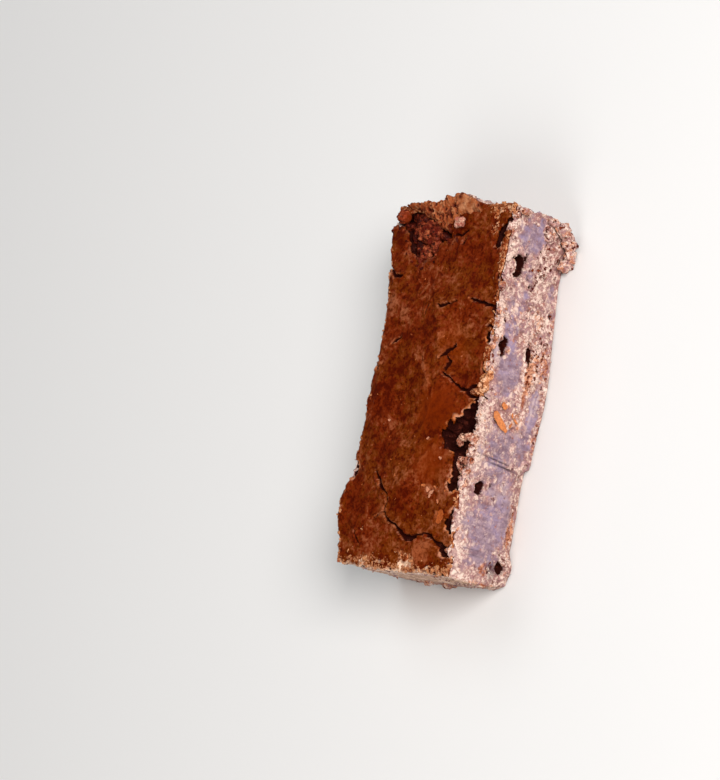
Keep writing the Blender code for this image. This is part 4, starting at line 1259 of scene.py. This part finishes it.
def make_bits(sizes, colours):
    """Loose crumbs: along the crust's edges, in the torn corner, pale bits on the crust, partly crumbs and partly
    painted glints, and grains of the cut side.
    """
    def along_edges(p, n):
        cut = np.exp(-((cut_edge_top(p[:, 1]) - p[:, 0] - 0.3) / 0.7) ** 2) * (0.6 + 1.2 * bell(p[:, 1], 4, 6, 1.0))
        near = 0.7 * np.exp(-((p[:, 1] + 49.6) / 1.6) ** 2)
        far = 0.35 * np.exp(-((p[:, 1] - 51.2) / 1.3) ** 2)
        left = 0.25 * np.exp(-((p[:, 0] - left_edge(p[:, 1]) - 0.6) / 0.5) ** 2)
        return (cut + near + far + left) * (n[:, 2] > 0.3) * (p[:, 2] > 21)
    rng = np.random.default_rng(7)
    p, normal = surface_points("crust", along_edges, 620, 500)
    size = 0.12 + 0.42 * rng.uniform(0, 1, len(p)) ** 2.2
    mesh = bits_mesh("edge_bits", p - normal * size[:, None] * 0.15, size, 501)
    add_piece("edge_bits", mesh, bits_material("edge bits", colours, "crust_film_sheen", "fray", "fray"))

    def on_cut(p, n):
        return ((n[:, 0] > 0.5) * (0.06 + crumbly(p[:, 1], p[:, 2]) ** 2) * (p[:, 2] > 1.2)
                * (cut_edge_base(p[:, 1]) - p[:, 0] < 1.0))

    def on_others(p, n):
        w = p[:, 2] / NOMINAL_HEIGHT
        inward = np.minimum(p[:, 1] - near_end(p[:, 0], w), far_end(p[:, 0], w) - p[:, 1])
        inward = np.minimum(inward, p[:, 0] - left_edge(p[:, 1]))
        lateral = ((np.abs(n[:, 1]) > 0.5) | (n[:, 0] < -0.5)) & (inward < 1.5)
        return lateral * (0.06 + crumbly(side_run(p, n), p[:, 2]) ** 2 + (n[:, 1] > 0.5)) * (p[:, 2] > 1.2)
    for name, keep, count, seed in (("cut_side_grains", on_cut, 1100, 510), ("other_side_grains", on_others, 1500, 515)):
        p, normal = surface_points("crumb", keep, count, seed)
        size = 0.20 + 0.40 * rng.uniform(0, 1, len(p)) ** 2
        mesh = bits_mesh(name, p - normal * 0.14, size, seed + 1, facets=False)
        q, out = read_back(mesh)[0], np.repeat(normal, 34, axis=0)
        run, z = side_run(q, out), q[:, 2]
        put_crumb_values(mesh, 1 - crumbly(run, z), patches(run, z, PORED), patches(run, z, RUSTY), 0.0,
                         patches(run, z, CREAMY))
        add_piece(name, mesh, crumb_material(colours))

    # crumbs that line the broken edge of the big hollow and bridge it
    y = rng.uniform(-28.6, -1.4, 230)
    reach = 1.0 + bell(y, -12.5, 0.7, 5.0) + bell(y, -19.2, 1.2, 3.6) + bell(y, -25.8, 1.3, 1.2)
    inlet = rng.uniform(0.0, 1.0, len(y)) * reach
    z = 23.2 - 0.16 * inlet - rng.uniform(0.0, 0.9, len(y))
    size = 0.28 + 0.55 * rng.uniform(0, 1, len(y)) ** 2
    mesh = bits_mesh("hollow_crumbs", np.stack([cut_edge_top(y) - inlet, y, z], axis=1), size, 541, facets=False)
    # crumbs further into the hollow are painted darker as shade, the outer ones paler
    sunk = np.repeat(ramp(inlet, 0.8, 1.6), 34)
    put_crumb_values(mesh, 0.0, 0.3, 0.35 + 0.4 * sunk, 0.8 * sunk, 0.6 * (1 - sunk))
    add_piece("hollow_crumbs", mesh, crumb_material(colours))

    def in_tear(p, n):
        e = opened(p[:, 0], p[:, 1], TORN)[0]
        return np.exp(-((e + 0.9) / 1.1) ** 2) * (e < 0) * (n[:, 2] > 0.2)
    p, normal = surface_points("crust", in_tear, 140, 520)
    size = 0.12 + 0.50 * rng.uniform(0, 1, len(p)) ** 2.2
    mesh = bits_mesh("tear_bits", p + normal * size[:, None] * 0.2, size, 521)
    add_piece("tear_bits", mesh, bits_material("tear bits", colours, "hollow", "torn_low", "torn_high"))

    # pale bits on the crust: partly crumbs, partly painted glints
    def on_crust(p, n):
        return (n[:, 2] > 0.7) * (p[:, 2] > 22) * np.ones(len(p))
    p, normal = surface_points("crust", on_crust, 130, 530)
    size = rng.uniform(0.10, 0.30, len(p))
    mesh = bits_mesh("crust_bits", p, size, 531, 0.4)
    add_piece("crust_bits", mesh, bits_material("crust bits", colours, "crust_film_sheen", "crust_shine", "lip"))


def flake(at, along, out, length, width, bend, seed, thick=0.22):
    """A curled flake: an oval plate carried on two directions, bent away from the surface by the square of its
    length, with a torn outline and a second face below."""
    nu, nv = 30, 16
    u, v = np.meshgrid(np.linspace(-1, 1, nu + 1), np.linspace(-1, 1, nv + 1), indexing="ij")
    a, b = np.array(along, float), np.array(out, float)
    a /= np.linalg.norm(a)
    b /= np.linalg.norm(b)
    c = np.cross(b, a)
    k = plan(u * 3, v * 3)
    wide = np.sqrt(np.clip(1 - np.abs(u) ** 2.6, 0, 1)) * (1 + 0.35 * noise(plan(u * 4, u * 0), 1.0, seed).reshape(u.shape))
    lift = bend * u ** 2 + 0.5 * bend * v ** 2 + 0.10 * layered(k, 1.0, seed + 1, 2).reshape(u.shape)
    edge = 1 - np.abs(v) ** 4 * 0.6
    flat = (np.array(at)[None] + (0.5 * length * u.ravel())[:, None] * a + (0.5 * width * (v * wide).ravel())[:, None] * c)
    top = flat + (lift.ravel() + thick * edge.ravel())[:, None] * b
    low = flat + (lift.ravel() - 0.3 * thick * edge.ravel())[:, None] * b
    i = np.arange(u.size).reshape(u.shape)
    loop = np.concatenate([i[:-1, 0], i[-1, :-1], i[:0:-1, -1], i[0, :0:-1]])
    band = np.stack([np.roll(loop, -1), loop, loop + i.size, np.roll(loop, -1) + i.size], axis=1)
    quads = np.concatenate([lattice_faces(i), lattice_faces(i + i.size, True), band])
    return np.concatenate([top, low]), quads


def make_flakes(sizes, colours):
    """Curled flakes of crust stuck to the cut side, and pale flakes lying on the crust."""
    def join(name, flakes, mat):
        points, quads, tints, shift = [], [], [], 0
        for n, (p, q) in enumerate(flakes):
            points.append(p)
            quads.append(q + shift)
            tints.append(np.full(len(p), (n * 0.37) % 1.0))
            shift += len(p)
        mesh = put_mesh(name, np.concatenate(points), np.concatenate(quads))
        put_value(mesh, "tint", np.concatenate(tints))
        add_piece(name, mesh, mat)
    join("cut_side_flakes", [
        flake((24.3, -6.6, 16.0), (0, -4.2, -5.0), (1, 0, 0), 7.4, 2.3, 0.35, 600),
        flake((24.3, -2.1, 15.2), (0, 1, 1.6), (1, 0.2, 0.1), 2.3, 1.7, 0.2, 610),
        flake((24.4, -6.9, 11.8), (0, 1, -0.6), (1, -0.2, 0.1), 1.8, 0.6, 0.15, 620),
        flake((24.4, -5.4, 10.3), (0, 1, 1.4), (1, -0.2, 0.1), 2.0, 0.7, 0.2, 630),
        flake((24.4, -4.2, 11.7), (0, 1, 0.3), (1, 0.1, 0.1), 1.5, 0.5, 0.15, 640),
    ], bits_material("orange flake", colours, "flake", "flake", "lip", 0.55))
    spots = ((7.4, -26.6, 1.8, 0.7), (9.0, -27.6, 1.6, 0.8), (10.9, -28.2, 2.0, 0.8), (12.0, -26.8, 1.2, 0.6),
             (10.2, -29.2, 1.3, 0.6), (-11.4, -9.4, 1.0, 0.7), (13.8, -30.6, 1.2, 0.6), (6.2, -13.6, 1.0, 0.6),
             (12.4, -18.8, 1.2, 0.7))
    crust, up = read_back(bpy.data.objects["crust"].data)
    crust = crust[up[:, 2] > 0.3]
    made = []
    for n, (x, y, length, width) in enumerate(spots + ((15.9, -34.6, 4.0, 2.1),)):
        z = crust[np.hypot(crust[:, 0] - x, crust[:, 1] - y) < 0.3 * length, 2].max()
        made.append(flake((x, y, z - 0.05), (np.cos(n * 1.9), np.sin(n * 1.9), 0.0), (0.12, -0.1, 1), length, width, 0.16, 640 + n, 0.18))
    join("crust_flakes", made[:-1], bits_material("pale flake", colours, "lip", "lip_pale", "lip_pale", 0.5))
    join("crust_plate", made[-1:], bits_material("orange plate", colours, "plate", "plate", "plate", 0.5))


# ---------------------------------------------------------------- stage

def direction(azimuth, elevation):
    """Unit vector turned by azimuth from +X and raised by elevation, both in radians."""
    return Vector((math.cos(elevation) * math.cos(azimuth), math.cos(elevation) * math.sin(azimuth),
                   math.sin(elevation)))


def make_stage():
    """Floor, three soft lights, a plain world and the camera."""
    size = 3.0
    mesh = bpy.data.meshes.new("floor")
    mesh.from_pydata([(-size, -size, 0), (size, -size, 0), (size, size, 0), (-size, size, 0)], [], [(0, 1, 2, 3)])
    floor = bpy.data.objects.new("floor", mesh)
    floor.location.z = -0.0003
    bpy.context.scene.collection.objects.link(floor)
    mat, n, shader = new_material("floor_paint", 0.9, 0.1)
    shader.inputs["Base Color"].default_value = (0.78, 0.77, 0.75, 1)
    mesh.materials.append(mat)
    world = bpy.data.worlds.new("studio")
    world.use_nodes = True
    world.node_tree.nodes["Background"].inputs["Color"].default_value = (0.92, 0.95, 1.0, 1)
    world.node_tree.nodes["Background"].inputs["Strength"].default_value = 0.16
    bpy.context.scene.world = world
    aim = Vector((0, 0, 0.012))
    for name, azimuth, elevation, far, wide, power, colour in (
            ("key", 12, 36, 1.1, 0.6, 14.0, (1.0, 0.98, 0.98)),
            ("fill", -75, 42, 1.4, 1.0, 7.0, (1.0, 0.98, 0.96)),
            ("back", 120, 50, 1.4, 1.0, 5.0, (0.96, 0.98, 1.0))):
        data = bpy.data.lights.new(name, "AREA")
        data.shape, data.size, data.energy, data.color = "DISK", wide, power, colour
        lamp = bpy.data.objects.new(name, data)
        lamp.location = aim + far * direction(math.radians(azimuth), math.radians(elevation))
        lamp.rotation_euler = (lamp.location - aim).to_track_quat("Z", "Y").to_euler()
        bpy.context.scene.collection.objects.link(lamp)
    # camera: looks down on the crust and the cut side, the bar leaning a little clockwise in the picture
    azimuth, elevation, lean = math.radians(-7.42), math.radians(40.54), math.radians(10.14)
    far = 0.70
    back = direction(azimuth, elevation)
    across = Vector((0, 1, 0)).cross(back).normalized()
    up = back.cross(across)
    side = math.cos(lean) * across + math.sin(lean) * up
    up = -math.sin(lean) * across + math.cos(lean) * up
    centre = Vector(settle(np.array([0.0, 0.0, 12.0])))
    place = centre - 0.02580 * side + 0.00188 * up + far * back
    cam_data = bpy.data.cameras.new("camera")
    cam_data.lens, cam_data.sensor_width = 115.88, 36.0
    cam = bpy.data.objects.new("camera", cam_data)
    cam.matrix_world = Matrix.Translation(place) @ Matrix((side, up, back)).transposed().to_4x4()
    bpy.context.scene.collection.objects.link(cam)
    bpy.context.scene.camera = cam
    bpy.context.scene.view_settings.view_transform = "Standard"
    bpy.context.scene.view_settings.look = "None"


# ---------------------------------------------------------------- add-on

def shade(name, description, r, g, b):
    """A colour property."""
    return bpy.props.FloatVectorProperty(name=name, description=description, subtype="COLOR", size=3,
                                         min=0.0, max=1.0, default=tone(r, g, b)[:3])


class BrownieSizes(bpy.types.PropertyGroup):
    crust_thickness: bpy.props.FloatProperty(name="Crust thickness", description="Thickness of the baked crust",
                                             default=0.0007, min=0.0003, max=0.002, unit="LENGTH")
    grain_relief: bpy.props.FloatProperty(name="Crumb relief", description="How far the crumb grains stand out",
                                          default=0.0006, min=0.0, max=0.002, unit="LENGTH")


class BrownieColours(bpy.types.PropertyGroup):
    crust_dark: shade("Dark crust", "Darkest parts of the crust", 76, 14, 0)
    crust_mid: shade("Middle crust", "Middle tone of the crust", 106, 44, 4)
    crust_red: shade("Red crust", "Redder middle tone of the crust", 108, 35, 5)
    # film colours: a pale bloom on the crust that is mostly painted sheen
    crust_film_sheen: shade("Film", "Pale film over the crust", 146, 80, 50)
    crust_speck: shade("Crust speckle", "Fine dark net on the crust", 62, 10, 0)
    crust_glow: shade("Smooth crust", "Middle tone of the smooth parts of the crust", 116, 38, 2)
    crust_shine: shade("Shine", "Film over the smooth parts of the crust", 152, 72, 30)
    # lip colours: torn crust edges and pale flakes, with a painted highlight where torn edges and crack lips catch the
    # light
    lip: shade("Torn lip", "Torn edges and pale flakes of the crust", 196, 112, 62)
    lip_pale: shade("Pale lip", "Palest torn edges of the crust", 202, 138, 106)
    fray: shade("Frayed crust", "Tan crumbs where the crust frays", 184, 124, 82)
    # smear colours: crumb smoothed by the knife, its lilac and blue tone a painted sheen of cool light
    smear: shade("Smear", "Crumb smoothed by the knife", 143, 120, 131)
    smear_dark: shade("Dark smear", "Darker smoothed crumb", 117, 92, 103)
    smear_violet: shade("Violet smear", "Bluest smoothed crumb", 140, 124, 154)
    smear_light: shade("Light smear", "Grains in the smoothed crumb", 172, 148, 154)
    grain: shade("Cream grain", "Cream crumb grains", 196, 163, 147)
    grain_pink: shade("Pink grain", "Pink crumb grains", 177, 128, 119)
    # grain core: pale crumb with a painted highlight, also the colour of dense cream crumb
    spark: shade("Grain core", "Bright middles of the grains", 227, 201, 186)
    gap: shade("Crumb gap", "Between crumb grains", 130, 86, 80)
    gap_light: shade("Light gap", "Lighter parts between crumb grains", 153, 115, 114)
    pit: shade("Pit", "Small pores of the crumb", 84, 28, 20)
    pit_rust: shade("Rust pit", "Warmer pores of the crumb", 112, 46, 24)
    rust_low: shade("Rust gap", "Between rust-brown crumbs", 134, 66, 38)
    rust_high: shade("Rust crumb", "Rust-brown crumbs", 206, 138, 100)
    # drag line colour: knife lines, and a painted shade patch above one hole
    drag: shade("Drag line", "Drag lines of the knife", 62, 46, 56)
    # hollow colours: dark moist crumb under painted shade, for holes, cracks, the crust's underside, the crumb top
    # under broken crust and dents of lumps
    hollow: shade("Hollow", "Inside holes and cracks", 42, 8, 4)
    hollow_crumb: shade("Hollow crumb", "Crumbs inside holes", 86, 34, 22)
    tongue: shade("Orange crumb", "Orange crumbs on the cut edge of the crust", 218, 148, 98)
    round_low: shade("Round crumb gap", "Between grains of the round pale crumb", 160, 84, 68)
    round_high: shade("Round crumb grain", "Grains of the round pale crumb", 192, 136, 116)
    sand_low: shade("Sandy gap", "Between crumbs of the ends", 148, 106, 84)
    sand_high: shade("Sandy crumb", "Crumbs of the ends", 234, 194, 163)
    slab_low: shade("Slab gap", "Dark parts of the lifted slab", 134, 54, 22)
    slab_mid: shade("Slab crumb", "Middle tone of the lifted slab", 158, 84, 44)
    slab_high: shade("Slab grain", "Grains of the lifted slab", 144, 74, 38)
    slab_skin: shade("Slab skin", "Smooth skin of the lifted slab", 196, 134, 94)
    slab_deep: shade("Slab pore", "Pores of the lifted slab", 76, 14, 4)
    torn_low: shade("Torn crumb gap", "Between grains in the torn corner", 82, 19, 7)
    torn_high: shade("Torn crumb grain", "Grains in the torn corner", 146, 66, 38)
    knob: shade("Knob", "Knob at the torn end", 146, 56, 30)
    torn_glint: shade("Torn crumb glint", "Palest grains in the torn corner", 182, 106, 68)
    plate: shade("Plate", "Loose orange plate on the crust", 160, 78, 32)
    flake: shade("Flake", "Orange flakes of crust on the cut side", 206, 126, 74)


class BROWNIE_OT_crumb(bpy.types.Operator):
    """Builds the crumb body of the bar"""
    bl_idname = "brownie.crumb"
    bl_label = "Crumb body"

    def execute(self, context):
        make_crumb(context.scene.brownie_sizes, colour_set(context.scene.brownie_colours))
        return {"FINISHED"}


class BROWNIE_OT_crust(bpy.types.Operator):
    """Builds the cracked crust"""
    bl_idname = "brownie.crust"
    bl_label = "Crust"

    def execute(self, context):
        make_crust(context.scene.brownie_sizes, colour_set(context.scene.brownie_colours))
        return {"FINISHED"}


class BROWNIE_OT_stage(bpy.types.Operator):
    """Builds the floor, lights, world and camera"""
    bl_idname = "brownie.stage"
    bl_label = "Stage"

    def execute(self, context):
        make_stage()
        return {"FINISHED"}


class BROWNIE_OT_slab(bpy.types.Operator):
    """Builds the lifted slab of crust at the torn end"""
    bl_idname = "brownie.slab"
    bl_label = "Lifted slab"

    def execute(self, context):
        make_slab(context.scene.brownie_sizes, colour_set(context.scene.brownie_colours))
        return {"FINISHED"}


class BROWNIE_OT_lumps(bpy.types.Operator):
    """Builds the torn lumps of crumb"""
    bl_idname = "brownie.lumps"
    bl_label = "Torn lumps"

    def execute(self, context):
        make_lumps(context.scene.brownie_sizes, colour_set(context.scene.brownie_colours))
        return {"FINISHED"}


class BROWNIE_OT_bits(bpy.types.Operator):
    """Scatters the loose crumbs"""
    bl_idname = "brownie.bits"
    bl_label = "Loose crumbs"

    def execute(self, context):
        make_bits(context.scene.brownie_sizes, colour_set(context.scene.brownie_colours))
        return {"FINISHED"}


class BROWNIE_OT_flakes(bpy.types.Operator):
    """Lays the flakes of crust"""
    bl_idname = "brownie.flakes"
    bl_label = "Flakes"

    def execute(self, context):
        make_flakes(context.scene.brownie_sizes, colour_set(context.scene.brownie_colours))
        return {"FINISHED"}


STEPS = (BROWNIE_OT_stage, BROWNIE_OT_crumb, BROWNIE_OT_crust, BROWNIE_OT_slab, BROWNIE_OT_lumps,
         BROWNIE_OT_bits, BROWNIE_OT_flakes)


class BROWNIE_PT_panel(bpy.types.Panel):
    """Lists the brownie's sizes, colours and pieces"""
    bl_idname = "BROWNIE_PT_panel"
    bl_label = "Brownie"
    bl_space_type = "VIEW_3D"
    bl_region_type = "UI"
    bl_category = "Brownie"

    def draw(self, context):
        for group in (context.scene.brownie_sizes, context.scene.brownie_colours):
            for key in group.__annotations__:
                self.layout.prop(group, key)
        for step in STEPS:
            self.layout.operator(step.bl_idname)


CLASSES = (BrownieSizes, BrownieColours) + STEPS + (BROWNIE_PT_panel,)


def register():
    for cls in CLASSES:
        bpy.utils.register_class(cls)
    bpy.types.Scene.brownie_sizes = bpy.props.PointerProperty(type=BrownieSizes)
    bpy.types.Scene.brownie_colours = bpy.props.PointerProperty(type=BrownieColours)


def unregister():
    del bpy.types.Scene.brownie_colours
    del bpy.types.Scene.brownie_sizes
    for cls in reversed(CLASSES):
        bpy.utils.unregister_class(cls)


def main():
    register()
    for step in STEPS:
        group, name = step.bl_idname.split(".")
        getattr(getattr(bpy.ops, group), name)()


if __name__ == "__main__":
    main()
